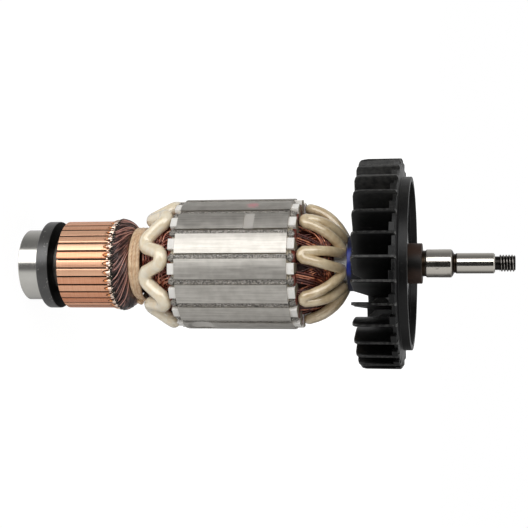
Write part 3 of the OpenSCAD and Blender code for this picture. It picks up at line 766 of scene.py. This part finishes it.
def fill_tree(name, material):
    """A tree that sets bars of resin in the slot mouths and roughens their outsides."""

    def build(plug):
        long, wide = plug["Length"], plug["Width"]
        size = long.joined(X=wide, Y=plug["Depth"], Z=long)
        sockets = {"Size": size, "Vertices X": 7, "Vertices Y": 3, "Vertices Z": plug["Rows"]}
        bar = long.node("GeometryNodeMeshCube", sockets)
        spots = long.node("GeometryNodePoints", {"Count": plug["Slots"]})
        number = long.node("GeometryNodeInputIndex", {})
        angle = (plug["First Angle"] + number * (360 / plug["Slots"])) * (math.pi / 180)
        spot = angle.around(plug["Radius"], plug["Height"])
        placed = spot.node("GeometryNodeSetPosition", {"Geometry": spots, "Position": spot})
        sockets = {"Points": placed, "Instance": bar, "Rotation": angle.joined(Z=angle)}
        bars = placed.node("GeometryNodeInstanceOnPoints", sockets)
        real = bars.node("GeometryNodeRealizeInstances", {"Geometry": bars})
        place = real.node("GeometryNodeInputPosition", {})
        rough = place.node("ShaderNodeTexNoise", {"Vector": place, "Scale": 1400.0, "Detail": 2.0})
        blot = place.node("ShaderNodeTexNoise", {"Vector": place, "Scale": 260.0, "Detail": 1.0})
        away = place.stretch(1, 1, 0).vector("NORMALIZE")
        push = ((rough - 0.5) * 1.1 + (blot - 0.55) * 1.3) * plug["Roughness"]
        offset = away.node("ShaderNodeVectorMath", {0: away, "Scale": push}, operation="SCALE")
        shaped = real.node("GeometryNodeSetPosition", {"Geometry": real, "Offset": offset})
        smooth = shaped.node("GeometryNodeSetShadeSmooth", {"Geometry": shaped})
        return finished(smooth, material)

    sizes = {"Length": 0.04, "Width": 0.002, "Depth": 0.001, "Rows": 90, "Slots": TEETH, "First Angle": 0.0,
             "Radius": 0.02, "Height": 0.08, "Roughness": 0.0003}
    return shape_tree(name, sizes, build)


fill_sizes = {
    "Length": (stack_high - stack_low - 0.1) * MM, "Width": (mouth_w - 0.05) * MM, "Depth": fill_depth * MM,
    "First Angle": first_slot + mouth_shift, "Radius": (stack_r - fill_inset - fill_depth / 2) * MM,
    "Height": (stack_low + stack_high) / 2 * MM, "Roughness": 0.3 * MM, "Rows": 120,
}
fills = grown("slot_fills", fill_tree("slot_fill", resin), fill_sizes)
settle(fills, resin, "slot_resin", "slot_wedges")

for plate, lean in zip(PLATES, (1, -1)):
    low, high = heights(plate)
    drop = lump(plate + "_drop", side(drop_r, 0, (low + high) / 2 + 0.2 * lean),
                (1.9, 1.6, (high - low) * 0.62), 3 + lean)
    drop_sizes = {"Count": TEETH, "First Angle": first_slot, "Angle Spread": 0.8, "Size Spread": 0.012,
                  "Seed": 8 + lean}
    ringed(plate + "_resin", drop, resin, "slot_resin", sizes=drop_sizes)

# ---------------------------------------------------- shaft insulation
# A white tube shrunk on the shaft insulates it from the windings, with a collar as the hub for the
# fan-side sleeving. A bright blue ring parts it from the fan. Its lip over the hub is drawn here
# only, because the ring sits about a millimetre nearer to the stack than its solid.

coat("shaft_insulation", mottled("white_insulation", 3, "#dcdcda", "#f4f4f2", (0.3, 0.15, 1.2)))
blue_low, blue_high = heights("blue_ring")
blue_r = reach("blue_ring")
hub_r = reach("shaft_insulation") + 0.02
blue_lip = 0.85


def blue_insulation(place):
    shade = place.grain(3).blend("#00126e", "#042ca4")
    # The ring is painted near black toward the fan and towards its sides along X: painted shade.
    soot_and_shade = (place.part("Z") + place.grain(0.8) * 0.8).rise(blue_low + 0.6, blue_low + 1.3)
    soot_and_shade = soot_and_shade.maths("MAXIMUM", abs(place.part("X") + 0.6).rise(3.2, 5.6) * 0.9)
    return {"Base Color": soot_and_shade.blend(shade, "#0b0b10"), "Roughness": 0.3 + soot_and_shade * 0.3}


blue_outline = eased([
    (bore_r, blue_low + 0.02), (hub_r, blue_low + 0.02), (hub_r, blue_low - blue_lip),
    (blue_r, blue_low - blue_lip), (blue_r, blue_high), (bore_r, blue_high),
], 0.12, closed=True)
settle(turned("blue_ring_pressed", blue_outline), finish("blue_insulation", {}, blue_insulation),
       "blue_insulation", "blue_ring")

# ------------------------------------------------------ winding heads
# Enamelled copper wire, drawn a little thin so that gaps show between the strands. Each coil
# leaves a slot, crosses the head beside the shaft and goes down into the slot seven teeth on, so
# flat bundles of wire lie over each other.

wire_d = 0.54
strand_pitch = 1.22
strands = 5
LAYERS = 3
head_out_r = 18.3
coil_span = 7 * tooth_step


def wire_tree(name, sizes, material, route):
    """A tree that draws wires; route gives a place from a wire's number and how far along it is."""

    def build(plug):
        count = plug["Wires"]
        line = count.node("GeometryNodeCurvePrimitiveLine", {})
        line = line.node("GeometryNodeResampleCurve", {"Curve": line, "Count": plug["Points"]})
        many = line.tree.nodes.new("GeometryNodeDuplicateElements")
        many.domain = "SPLINE"
        line.tree.links.new(line.socket, many.inputs["Geometry"])
        line.tree.links.new(count.socket, many.inputs["Amount"])
        lines, number = Plug(line.tree, many.outputs[0]), Plug(line.tree, many.outputs[1])
        along = line.node("GeometryNodeSplineParameter", {})
        swing = number.chance(plug["Seed"])
        radius, angle, height = route(plug, number, along, swing)
        spot = (angle * (math.pi / 180)).around(radius * MM, height * MM)
        laid = lines.node("GeometryNodeSetPosition", {"Geometry": lines, "Position": spot})
        laid = laid.node("GeometryNodeStoreNamedAttribute",
                         {"Geometry": laid, "Name": "wire_tone", "Value": swing * 0.5 + 0.5},
                         data_type="FLOAT", domain="POINT")
        ring = count.node("GeometryNodeCurvePrimitiveCircle",
                          {"Resolution": plug["Sides"], "Radius": plug["Wire Diameter"] * (MM / 2)})
        body = laid.node("GeometryNodeCurveToMesh",
                         {"Curve": laid, "Profile Curve": ring, "Fill Caps": True})
        smooth = body.node("GeometryNodeSetShadeSmooth", {"Geometry": body})
        return finished(smooth, material)

    return shape_tree(name, dict(sizes, **{"Wires": 1, "Points": 24, "Sides": 6, "Seed": 2}), build)


def step_of(number, size):
    """Which group of a size a wire's number falls in."""
    return (number / size + 0.001).maths("FLOOR")


def enamel(low, high, painted_glint):
    def shades(place):
        tone = place.node("ShaderNodeAttribute", {}, out=2, attribute_name="wire_tone")
        cloud = place.grain(2.2)
        shade = (tone * 0.65 + cloud * 0.35).blend(low, high)
        # Random stretches of some wires are painted with the pale glint colour: painted highlights.
        return {
            "Base Color": ((tone * cloud).rise(0.3, 0.5) * 0.8).blend(shade, painted_glint),
            "Roughness": 0.14 + cloud * 0.22,
        }

    return shades


def coil_route(outline):
    """The route of a coil's wires over a head, whose outline gives radius and height."""

    def route(plug, number, along, swing):
        slot = step_of(number, LAYERS * strands)
        inside = number - slot * (LAYERS * strands)
        layer = step_of(inside, strands)
        strand = inside - layer * strands
        layer_r = plug["Near Radius"] + layer * plug["Layer Step"]
        near = layer_r + strand * plug["Wire Diameter"] * strand_pitch
        middle = layer_r + (strands / 2 * strand_pitch) * plug["Wire Diameter"]
        turn = (near / head_out_r).maths("ARCCOSINE") * (180 / math.pi)
        held = coil_span / 2 - (middle / head_out_r).maths("ARCCOSINE") * (180 / math.pi)
        across = (along * 2 - 1) * (held + turn)
        leaned = (abs(across) - held).maths("MAXIMUM", 0.0)
        radius = near / (leaned * (math.pi / 180)).maths("COSINE")
        sink = (2 - layer) * plug["Layer Depth"] + along.rise(0.15, 0.85) * plug["Layer Depth"] * 1.5
        sink = sink + swing * 0.06 + 0.1
        wander = (across * 0.09 + swing * 3).maths("SINE") * 0.5
        angle = first_slot + slot * tooth_step + coil_span / 2 + across + wander * swing
        out, height = outline(radius, sink, abs(along * 2 - 1))
        return out, angle, height

    return route


dome_r = 14.9
dome_centre_r = 3.27
dome_centre_z = plate_top - 0.9


def dome(radius, sink, end):
    """The fan-side head is a dome of wire."""
    lean = ((radius - dome_centre_r) / dome_r).maths("MINIMUM", 0.999)
    out = dome_centre_r + (dome_r - sink) * lean
    rise = (1 - lean * lean).maths("SQRT")
    height = dome_centre_z + (dome_r - sink) * rise
    drop = end.rise(0.93, 1)
    return out, height * (1 - drop) + (plate_top - 0.4) * drop


cone_low_r = 12.6
cone_low_z = heights("binding_cord")[1] - 0.5
cone_high_z = plate_foot - 1.9


def cone(radius, sink, end):
    """The commutator-side head is a cone of wire."""
    slope = (cone_high_z - cone_low_z) / (head_out_r - cone_low_r)
    out = radius - sink * 0.88
    height = cone_low_z + (radius - cone_low_r) * slope + sink * 0.47
    drop = end.rise(0.93, 1)
    return out, height * (1 - drop) + (plate_foot + 0.4) * drop


enamel_fixed = {"Coat Weight": 1.0, "Coat Roughness": 0.1, "Metallic": 0.55}
red_enamel = finish("red_enamel", enamel_fixed, enamel("#240703", "#7d2a17", "#e09068"))
pink_enamel = finish("pink_enamel", enamel_fixed, enamel("#43130b", "#ab5138", "#f7b898"))
dark_core = mottled("shaded_wire", 0.6, "#100301", "#3c150b", (0.35, 0.2, 0.5), (0.2, 0.5))
head_sizes = {"Wires": TEETH * LAYERS * strands, "Points": 40, "Wire Diameter": wire_d}
front_sizes = dict(head_sizes, **{"Near Radius": 8.4, "Layer Step": 1.5, "Layer Depth": 0.62, "Seed": 12})
rear_sizes = dict(head_sizes, **{"Near Radius": 13.0, "Layer Step": 0.9, "Layer Depth": 0.58, "Seed": 15})
front_wires = grown("front_coil_wires", wire_tree("front_coils", front_sizes, red_enamel, coil_route(dome)),
                    front_sizes)
rear_wires = grown("rear_coil_wires", wire_tree("rear_coils", rear_sizes, pink_enamel, coil_route(cone)),
                   rear_sizes)
settle(front_wires, red_enamel, "enamelled_wire", "front_winding")
settle(rear_wires, pink_enamel, "enamelled_wire", "rear_winding")

core_bore_r, core_depth = 7.25, 2.3
core_dome_r, core_rim_r = dome_r - core_depth, head_out_r - core_depth
front_core = [(core_bore_r, plate_top)] + [
    (dome_centre_r + core_dome_r * math.sin(math.radians(a)),
     dome_centre_z + core_dome_r * math.cos(math.radians(a)))
    for a in range(86, 16, -10)
] + [(core_bore_r, dome_centre_z + core_dome_r - 0.2)]
rear_core = [(core_bore_r, cone_low_z - 4), (10.4, cone_low_z - 4), (10.6, cone_low_z),
             (core_rim_r, cone_high_z), (core_rim_r, plate_foot), (core_bore_r, plate_foot)]
settle(turned("front_coil_core", front_core, 64), dark_core, "enamelled_wire")
settle(turned("rear_coil_core", rear_core, 64), dark_core, "enamelled_wire")

# --------------------------------------------------------- lead wires
# Wires run from each hook to the coils. They are combed one way around the shaft, drawn down to
# the neck of the winding, and varnished: nearly black at the hooks, golden near the cord.

lead_low, lead_high = heights("lead_wires")
arc_r = 6.05
lead_centre_r, lead_centre_z = 17.2 - arc_r, lead_low - 0.8
arc_low, arc_high = 4, 96
lead_turn = 60
lead_d = 0.42
WIRES_TO_A_HOOK = 8


def lead_route(plug, number, along, swing):
    layer = number % 3
    swept_by = (along * 0.3 + along * along * 0.7) * lead_turn
    angle = plug["First Angle"] + number * (360 / plug["Wires"]) - swept_by
    bend = (along * (arc_high - arc_low) + arc_low) * (math.pi / 180)
    depth = arc_r - layer * 0.24 - lead_d / 2 - 0.12 + swing * 0.1
    wave = (along * 7 + swing * 29).maths("SINE") * 1.9 + swing * 1.2
    radius = lead_centre_r + bend.maths("COSINE") * depth
    height = lead_centre_z + bend.maths("SINE") * depth
    return radius, angle + wave, height


def lead_varnish(place):
    tone = place.node("ShaderNodeAttribute", {}, out=2, attribute_name="wire_tone")
    height = place.part("Z") + place.grain(1.8) * 2.2 - 1.1
    # Some wires are painted pale pink: partly a paler varnish, partly a painted highlight.
    painted_shine = (tone * 0.75 + place.grain(1.2) * 0.25).rise(0.48, 0.92)
    red = painted_shine.blend("#2a0c0c", "#d4988a")
    gold = height.rise(lead_high - 1.2, lead_high + 0.6).blend(red, "#8a5c34")
    dark = height.rise(lead_low - 0.2, lead_low + 1.2)
    return {
        "Base Color": dark.blend("#0a0b07", gold),
        "Roughness": 0.3 + place.grain(0.8) * 0.2,
        "Coat Weight": 0.1 + dark * 0.8,
    }


lead_paint = finish("lead_varnish", {"Coat Roughness": 0.12, "Specular IOR Level": 0.35}, lead_varnish)
lead_sizes = {"Wires": WIRES_TO_A_HOOK * len(BARS), "Points": 22, "Wire Diameter": lead_d,
              "First Angle": first_bar, "Seed": 21}
leads = grown("lead_wires_combed", wire_tree("leads", lead_sizes, lead_paint, lead_route), lead_sizes)
settle(leads, lead_paint, "enamelled_wire", "lead_wires")
lead_core = [(core_bore_r, lead_low - 0.6), (15.6, lead_low - 0.6)] + [
    (lead_centre_r + (arc_r - 1.0) * math.cos(math.radians(a)),
     lead_centre_z + (arc_r - 1.0) * math.sin(math.radians(a)))
    for a in range(6, 96, 12)
] + [(core_bore_r, lead_high)]
settle(turned("lead_core", lead_core, 64), varnish, "enamelled_wire")

# ------------------------------------------------------- binding cord
# A flat cord of glass fibre, wound three times around the neck of the winding, knotted at one
# side and soaked in resin, which leaves it stiff and tan.

cord_low, cord_high = heights("binding_cord")
cord_r = 13.05
cord_wide, cord_thick = 0.8, 0.62
cord_pitch = 1.36
knot_angle = 80
CORD_TURNS = 3
CORD_STEPS = 96 * CORD_TURNS
cord_stations = []
for i in range(CORD_STEPS + 1):
    angle = 360 * CORD_TURNS * i / CORD_STEPS
    turn_now = min(int(angle // 360), CORD_TURNS - 1)
    part_way = angle - 360 * turn_now
    shift = min(max((part_way - 330) / 30, 0), 1)
    shift = turn_now - 1 + (shift * shift * (3 - 2 * shift) if turn_now < CORD_TURNS - 1 else 0)
    pull = max(0, math.cos(math.radians(part_way + 12))) ** 6
    height = (cord_low + cord_high) / 2 - 0.1 + shift * cord_pitch * (1 - 0.3 * pull) - 0.12 * pull
    height += 0.05 * noise.noise(Vector((angle / 40, 0, 0)))
    out = side(cord_r + 0.05 * noise.noise(Vector((angle / 30, 4, 0))), knot_angle + part_way, height)
    cord_stations.append((out, side(1, knot_angle + part_way, 0), cord_wide, cord_thick))


def soaked_cord(place):
    along = place.turn() * cord_r
    laid = along.joined(X=along * 0.35, Y=place.part("Z") * 1.6 + along * 0.5, Z=0.0)
    strands_seen = laid.node("ShaderNodeTexNoise", {"Vector": laid, "Scale": 2.2, "Detail": 2.0})
    cloud = place.grain(1.6, 3)
    dark = place.grain(0.8).rise(0.66, 0.76)
    tan = (strands_seen * 0.5 + cloud * 0.5).rise(0.3, 0.7).blend("#c9a078", "#f6dcb8")
    return {
        "Base Color": (dark * 0.5).blend(tan, "#5f482c"),
        "Roughness": 0.3 + cloud * 0.25,
        "Normal": (strands_seen + cloud * 0.5).relief(0.07),
    }


cord_paint = finish("soaked_cord", {"Coat Weight": 0.25, "Coat Roughness": 0.3}, soaked_cord)
settle(swept("cord_turns", cord_stations, 12), cord_paint, "binding_cord", "binding_cord")
knot_stations = []
for i in range(24):
    turn = math.tau * i / 24
    centre = side(cord_r + 0.85 + 0.5 * math.cos(2 * turn), knot_angle + 4.6 * math.cos(turn),
                  cord_low + 1.35 + 0.75 * math.sin(turn))
    knot_stations.append((centre, side(1, knot_angle, 0), 0.62, 0.62))
settle(swept("cord_knot", knot_stations, 10, closed=True), cord_paint, "binding_cord")

# ---------------------------------------------------------- sleeving
# Soft ivory sleeving, thick on the commutator side and thinner on the fan side, is laced in and
# out around each winding head in eight loops. It is dipped in varnish and sets with a high gloss.

LOOPS = 8
loop_step = 360 / LOOPS


def laced(name, line, length, turn_r, thickness, shifts, seed):
    """Sleeving laced around a head; line(m) gives height, radius and outward side at a length m."""
    chance = random.Random(seed)
    stations = []

    def add(m, angle, fat):
        height, radius, out_z, out_r = line(m)
        swell = thickness / 2 * fat * (1 + chance.uniform(-0.02, 0.02))
        out = side(out_r, angle, out_z)
        stations.append((side(radius, angle, height), out, swell, swell))

    apexes = []
    for k in range(LOOPS):
        apexes.append((first_slot + k * loop_step + shifts[2 * k], 1, turn_r))
        apexes.append((first_slot + (k + 0.5) * loop_step + shifts[2 * k + 1], -1, length - turn_r))
    apexes.append((apexes[0][0] + 360, 1, turn_r))

    def bend(apex, f):
        angle, m_side, centre = apex
        m = centre - m_side * turn_r * math.cos(math.radians(f))
        return m, angle + math.degrees(turn_r * math.sin(math.radians(f)) / line(m)[1])

    for apex, following in zip(apexes, apexes[1:]):
        for f in (-54, -27, 0, 27, 54):
            m, angle = bend(apex, f)
            add(m, angle, 1.0 + 0.04 * math.cos(math.radians(f)))
        (from_m, from_angle), (to_m, to_angle) = bend(apex, 54), bend(following, -54)
        start, end = side(line(from_m)[1], from_angle, 0), side(line(to_m)[1], to_angle, 0)
        for t in (0.12, 0.28, 0.44, 0.6, 0.76, 0.88):
            m = from_m + (to_m - from_m) * t
            climb = (line(m)[0] - line(from_m)[0]) / (line(to_m)[0] - line(from_m)[0])
            spot = start.lerp(end, (t + climb) / 2)
            angle = math.degrees(math.atan2(spot.x, -spot.y))
            add(m, angle + 360 * round((from_angle - angle) / 360), 1.0)
    return swept(name, stations, 18, closed=True)


def varnished(low, high):
    def shades(place):
        cloud = place.grain(4, 3)
        warm = place.grain(1.4, 2)
        return {
            "Base Color": (cloud * 0.6 + warm * 0.4).rise(0.25, 0.75).blend(low, high),
            "Roughness": 0.25 + cloud * 0.14,
            "Normal": (cloud * 1.5 + warm * 0.35).relief(0.1),
        }

    return shades


rear_thick, front_thick = 4.95, 3.65
rear_low_z, rear_high_z = heights("rear_sleeving")
rear_inset = 2.4
rear_in = (rear_low_z + rear_inset, 16.8)
rear_out = (rear_high_z - rear_inset, 20.9)
rear_length = math.dist(rear_in, rear_out)
rear_lean = ((rear_out[0] - rear_in[0]) / rear_length, (rear_out[1] - rear_in[1]) / rear_length)


def rear_line(m):
    return rear_in[0] + rear_lean[0] * m, rear_in[1] + rear_lean[1] * m, -rear_lean[1], rear_lean[0]


front_low_z, front_high_z = heights("front_sleeving")
front_arc_in = 22
front_arc_r = (front_high_z - front_thick / 2 - dome_centre_z) / math.cos(math.radians(front_arc_in))
front_arc_out = math.degrees(math.acos((front_low_z + front_thick / 2 - dome_centre_z) / front_arc_r))
front_length = front_arc_r * math.radians(front_arc_out - front_arc_in)


def front_line(m):
    lean = math.radians(front_arc_in) + m / front_arc_r
    radius = dome_centre_r + front_arc_r * math.sin(lean)
    return dome_centre_z + front_arc_r * math.cos(lean), radius, math.cos(lean), math.sin(lean)


rear_shifts = (0.6, 1.5, 0.55, 0, 0.8, -1.2, 0, 1, -1, 0.6, 0.4, -0.8, 1.55, 0.5, 2.55, 1)
front_shifts = (1.1, 0.5, 3.55, 2, 0.4, -1, 0.2, 0.8, -0.8, 0, 0.6, 1.2, 2.55, 2.5, 1.55, -2)
gloss = {"Coat Weight": 1.0, "Coat Roughness": 0.07, "Coat IOR": 1.75}
ivory_paint = finish("ivory_sleeving", gloss, varnished("#f6e0b8", "#fff6e0"))
tan_paint = finish("tan_sleeving", gloss, varnished("#c9ae84", "#f0deba"))
rear_loops = laced("rear_loops", rear_line, rear_length, 2.9, rear_thick, rear_shifts, 6)
front_loops = laced("front_loops", front_line, front_length, 1.6, front_thick, front_shifts, 9)
settle(rear_loops, ivory_paint, "ivory_sleeving", "rear_sleeving")
settle(front_loops, tan_paint, "ivory_sleeving", "front_sleeving")

# ---------------------------------------------------------------- fan
# One moulding in black glass-filled plastic, pressed on the shaft: a boss that flares into a disc,
# blades that lean back, a small lug beside each blade, and a ring around a recess with a low boss.

fan_low, fan_high = heights("fan")
fan_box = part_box("fan")
fan_r = max(-fan_box[0].x, fan_box[1].x, fan_box[1].y) / MM
tip_r = fan_r - 0.15
BLADES = 29
first_blade = -3.9
blade_low = fan_low + 0.1
disc_high = fan_high - 3.2
disc_low = disc_high - 1.6
recess_z = disc_high + 0.9
recess_boss_r, recess_boss_z = 11.6, recess_z + 0.68
rim_r = fan_r - 1.3
band_r, band_in_r = 30.8, 29.0
boss_r = 9.5
flare_r = disc_low - fan_low - 1.1
blade_in_r, blade_sweep, blade_curve_r, blade_t = 23.5, 20, 45, 1.1
blade_corner = 2.0


def black_plastic(place):
    cloud = place.grain(5, 3)
    # Along the blade edges marked in the mesh, the plastic is flecked pale grey: painted highlight on the
    # edges.
    worn = place.node("ShaderNodeAttribute", {}, out=2, attribute_name="worn")
    scuff = place.stretch(1, 1, 0.4).grain(0.8, 4).rise(0.58, 0.8)
    painted_edge_highlight = worn * place.grain(0.9, 3).rise(0.4, 0.62)
    depth = place.part("X") ** 2 + place.part("Y") ** 2
    recess = place.part("Z").rise(recess_z - 0.3, recess_z - 0.1) * (1 - depth.rise(28.4**2, 28.9**2))
    dust = (place.part("X") * -1).rise(12.0, 36.0) * place.grain(1.6, 3).rise(0.25, 0.7)
    dull = (scuff * 0.4 + dust * 0.5).blend("#060606", "#383734")
    return {
        "Base Color": (painted_edge_highlight * 0.45).blend(dull, "#7d7c79"),
        "Roughness": 0.3 + cloud * 0.12 + scuff * 0.1 - recess * 0.3,
        "Normal": place.grain(0.5, 3).relief(0.02),
    }


plastic = finish("black_plastic", {"Specular IOR Level": 0.3}, black_plastic)
flare = [math.radians(a) for a in range(0, 91, 10)]
fan_outline = eased([(bore_r, fan_low), (boss_r, fan_low)] + [
    (boss_r + flare_r * (1 - math.cos(a)), disc_low - flare_r * (1 - math.sin(a))) for a in flare
] + [
    (rim_r, disc_low), (rim_r, disc_high - 0.3), (band_r, disc_high + 0.2), (band_r, fan_high),
    (band_in_r, fan_high), (band_in_r, recess_z), (recess_boss_r + 0.3, recess_z),
    (recess_boss_r, recess_boss_z - 0.16), (bore_r, recess_boss_z),
], 0.22, closed=True)
settle(turned("fan_disc", fan_outline, 192), plastic, "black_plastic", "fan")

sweep = math.radians(blade_sweep)
inner_end = Vector((blade_in_r * math.cos(sweep), blade_in_r * math.sin(sweep)))
chord = Vector((tip_r, 0)) - inner_end
rise = math.sqrt(blade_curve_r**2 - (chord.length / 2) ** 2)
curve_centre = inner_end + chord / 2 + Vector((-chord.y, chord.x)).normalized() * rise
blade_rings, blade_worn = [], []
for share in (0, 0.3, 0.6, 0.88, 0.94, 0.98, 1):
    inset = 0.18 if share in (0, 1) else 0
    away = (inner_end + chord * share - curve_centre).normalized()
    spot = curve_centre + away * blade_curve_r
    round_off = min(max(0, (spot.length - (tip_r - blade_corner)) / blade_corner), 1)
    corner = blade_corner * (1 - math.sqrt(1 - round_off**2))
    start = max(0, blade_in_r + 3 - spot.length) * 2
    low = blade_low + corner + start + inset
    top = disc_high - 0.05 - max(0, spot.length - (fan_r - 0.9)) * 0.9
    thin = blade_t / 2 - inset
    # Each edge point carries a mark for the painted edge highlight, 1 on the blades' long edges.
    edge = ((thin, top, 1), (thin, top - 0.5, 0), (thin, low + 0.5, 0), (thin - 0.1, low, 1))
    ring = edge + tuple((-across, height, worn) for across, height, worn in reversed(edge))
    flats = [(spot + away * across, height) for across, height, worn in ring]
    blade_rings.append([(flat.y, -flat.x, height) for flat, height in flats])
    blade_worn += [0.3 if share == 1 else worn for across, height, worn in ring]
blade = skinned("blade", blade_rings, 30)
blade.data.attributes.new("worn", "FLOAT", "POINT").data.foreach_set("value", blade_worn)
blade_sizes = {"Count": BLADES, "First Angle": first_blade, "Angle Spread": 0.05, "Seed": 1}
ringed("fan_blades", blade, plastic, "black_plastic", sizes=blade_sizes)

lug_angle, lug_in_r, lug_out_r = 5.2, rim_r - 0.8, fan_r - 0.25
lug_low, lug_high = disc_low - 0.9, disc_high - 0.5
lug_rows = ((lug_low, 0.12), (lug_low + 0.15, 0), (lug_high - 0.15, 0), (lug_high, 0.15))
lug = skinned("lug", [[
    side(lug_in_r, inset - lug_angle, height), side(lug_out_r - inset, inset - lug_angle, height),
    side(lug_out_r - inset, 0, height), side(lug_in_r, 0, height),
] for height, inset in lug_rows], 30)
ringed("fan_lugs", lug, plastic, "black_plastic", sizes=blade_sizes)

# -------------------------------------------------------- front collar
# A steel spacer pressed on the shaft in front of the fan, where the shaft steps down to the front
# bearing's seat. Its skin of brown oxide is glossy; it is painted near black across its middle and
# lighter brown towards its sides, as painted reflection.


def brown_oxide(place):
    cloud = place.grain(2.5, 3)
    # Near black across the middle and lighter brown towards the sides: painted reflection over the brown
    # oxide.
    painted_side_sheen = (abs(place.part("X")) + cloud * 2 - 1).rise(0.8, 5.0)
    return {
        "Base Color": painted_side_sheen.blend("#0c0906", "#3d2b22"),
        "Roughness": 0.38 + cloud * 0.16,
        "Normal": place.grain(0.5).relief(0.01),
    }


collar_low, collar_high = heights("front_collar")
collar_r = reach("front_collar")
collar_outline = eased([
    (bore_r, collar_low), (collar_r, collar_low), (collar_r, collar_high), (bore_r, collar_high),
], 0.35, closed=True)
settle(turned("collar_pressed", collar_outline),
       finish("brown_oxide", {"Specular IOR Level": 0.3}, brown_oxide), "brown_steel", "front_collar")

# ------------------------------------------------------------- studio
# A pale floor that keeps the object's shadow and runs out into a white background, a large soft
# lamp over one shoulder, a weaker one behind, and a tent that only glossy things see, with a
# bright panel where the large lamp is.


def background_rays(tree):
    """1 for rays that see the background straight, in a mirror or through glass."""
    rays = tree.nodes.new("ShaderNodeLightPath")
    total = Plug(tree, rays.outputs["Is Camera Ray"]) + Plug(tree, rays.outputs["Is Glossy Ray"])
    total = total + Plug(tree, rays.outputs["Is Transmission Ray"])
    return total.node("ShaderNodeClamp", {"Value": total})


world = bpy.data.worlds.new("studio")
bpy.context.scene.world = world
world.use_nodes = True
air = world.node_tree
seen = background_rays(air)
white = seen.node("ShaderNodeBackground", {"Color": (1, 1, 1, 1), "Strength": 1.0})
dim = seen.node("ShaderNodeBackground", {"Color": (1, 1, 1, 1), "Strength": 0.42})
sky = seen.node("ShaderNodeMixShader", {0: seen, 1: dim, 2: white})
air.links.new(sky.socket, air.nodes["World Output"].inputs["Surface"])

half, drop = 4, -0.00005
corners = [(-half, -half, drop), (half, -half, drop), (half, half, drop), (-half, half, drop)]
floor_mesh = bpy.data.meshes.new("floor")
floor_mesh.from_pydata(corners, [], [[0, 1, 2, 3]])
floor = linked("floor", floor_mesh)
floor_paint = bpy.data.materials.new("pale_floor")
floor_paint.use_nodes = True
ground = floor_paint.node_tree
seen = background_rays(ground)
spot = Plug(ground, ground.nodes.new("ShaderNodeTexCoord").outputs["Object"])
away = spot.vector("LENGTH", out=1)
pale = away.node("ShaderNodeBsdfDiffuse", {"Color": (0.82, 0.82, 0.82, 1)})
glow = away.node("ShaderNodeEmission", {"Color": (1, 1, 1, 1), "Strength": 1.15})
near = away.node("ShaderNodeMixShader", {0: seen * (0.8 + away.rise(0.04, 0.3) * 0.2), 1: pale, 2: glow})
ground.links.new(near.socket, ground.nodes["Material Output"].inputs["Surface"])
floor_mesh.materials.append(floor_paint)
floor.visible_glossy = False
floor.visible_shadow = False


def lamp(name, angle, height, distance, width, length, power):
    """A softbox beside the object that faces its middle."""
    data = bpy.data.lights.new(name, "AREA")
    data.shape, data.size, data.size_y, data.energy = "RECTANGLE", width, length, power
    made = linked(name, data)
    made.location = side(distance, angle, height)
    back = (made.location - Vector((0, 0, 0.09))).normalized()
    made.rotation_euler = back.to_track_quat("Z", "Y").to_euler()
    made.visible_glossy = False


lamp("key_softbox", -29, 0.09, 0.75, 0.637, 1.3, 4.4)
lamp("back_softbox", 152, 0.3, 0.9, 0.6, 1.0, 2.2)


def screen(name, radius, from_angle, to_angle, low, high, shades):
    """A curved screen around the object, seen in glossy things only; shades has (angle, grey) stops."""
    glare = 3.0
    steps, points = max(4, int((to_angle - from_angle) / 6)), []
    for i in range(steps + 1):
        angle = from_angle + (to_angle - from_angle) * i / steps
        points += [side(radius, angle, low), side(radius, angle, high)]
    faces = [[2 * i, 2 * i + 1, 2 * i + 3, 2 * i + 2] for i in range(steps)]
    mesh = bpy.data.meshes.new(name)
    mesh.from_pydata(points, [], faces)
    made = linked(name, mesh)

    def glow(place):
        stops = [((at + 180) / 360, (grey / glare, grey / glare, grey / glare, 1)) for at, grey in shades]
        share = place.turn() * (0.5 / math.pi) + 0.5
        return {"Emission Color": share.node("ShaderNodeValToRGB", {"Fac": share}, stops=stops)}

    fixed = {"Base Color": (0, 0, 0, 1), "Specular IOR Level": 0.0, "Emission Strength": glare}
    mesh.materials.append(finish(name, fixed, glow))
    made.visible_camera = False
    made.visible_diffuse = False
    made.visible_transmission = False
    made.visible_shadow = False


screen("grey_tent", 1.0, -180, 180, -1.2, 1.4, (
    (-180, 0.58), (-140, 0.56), (-118, 0.44), (-100, 0.32), (-84, 0.22), (-60, 0.20), (-51, 0.40),
    (-49, 2.8), (-9, 2.8), (-6, 0.14), (14, 0.18), (26, 0.68), (45, 0.70), (100, 0.56), (130, 0.48),
    (150, 0.32), (180, 0.58),
))
screen("dark_card", 0.9, -18, 30, -0.03, 0.4, ((-180, 0.03), (180, 0.03)))
screen("low_card", 0.9, 92, 165, -0.03, 0.4, ((92, 0.42), (110, 0.2), (130, 0.09), (150, 0.12), (165, 0.3)))

# The camera looks at the middle from the side, a little from the fan's end, and lies on its side,
# so that the shaft runs level across the view with the commutator on the left.
lens, camera_distance, camera_rise, camera_roll = 79.8, 0.4255, 10.68, 0.2
middle = Vector((0, 0, (heights("shaft")[1] / 2 + 0.1) * MM))
eye = middle + side(camera_distance * math.cos(math.radians(camera_rise)), 0,
                    camera_distance * math.sin(math.radians(camera_rise)))
back = (eye - middle).normalized()
right = (Vector((0, 0, 1)) - back * back.z).normalized()
up = back.cross(right)
roll = math.radians(camera_roll)
right, up = right * math.cos(roll) - up * math.sin(roll), up * math.cos(roll) + right * math.sin(roll)
camera_data = bpy.data.cameras.new("camera")
camera_data.lens, camera_data.sensor_width = lens, 36
camera_data.clip_start, camera_data.clip_end = 0.01, 20
camera = linked("camera", camera_data)
turned_axes = Matrix((right, up, back)).transposed()
camera.matrix_world = Matrix.Translation(eye) @ turned_axes.to_4x4()
bpy.context.scene.camera = camera
bpy.context.scene.view_settings.view_transform = "Standard"
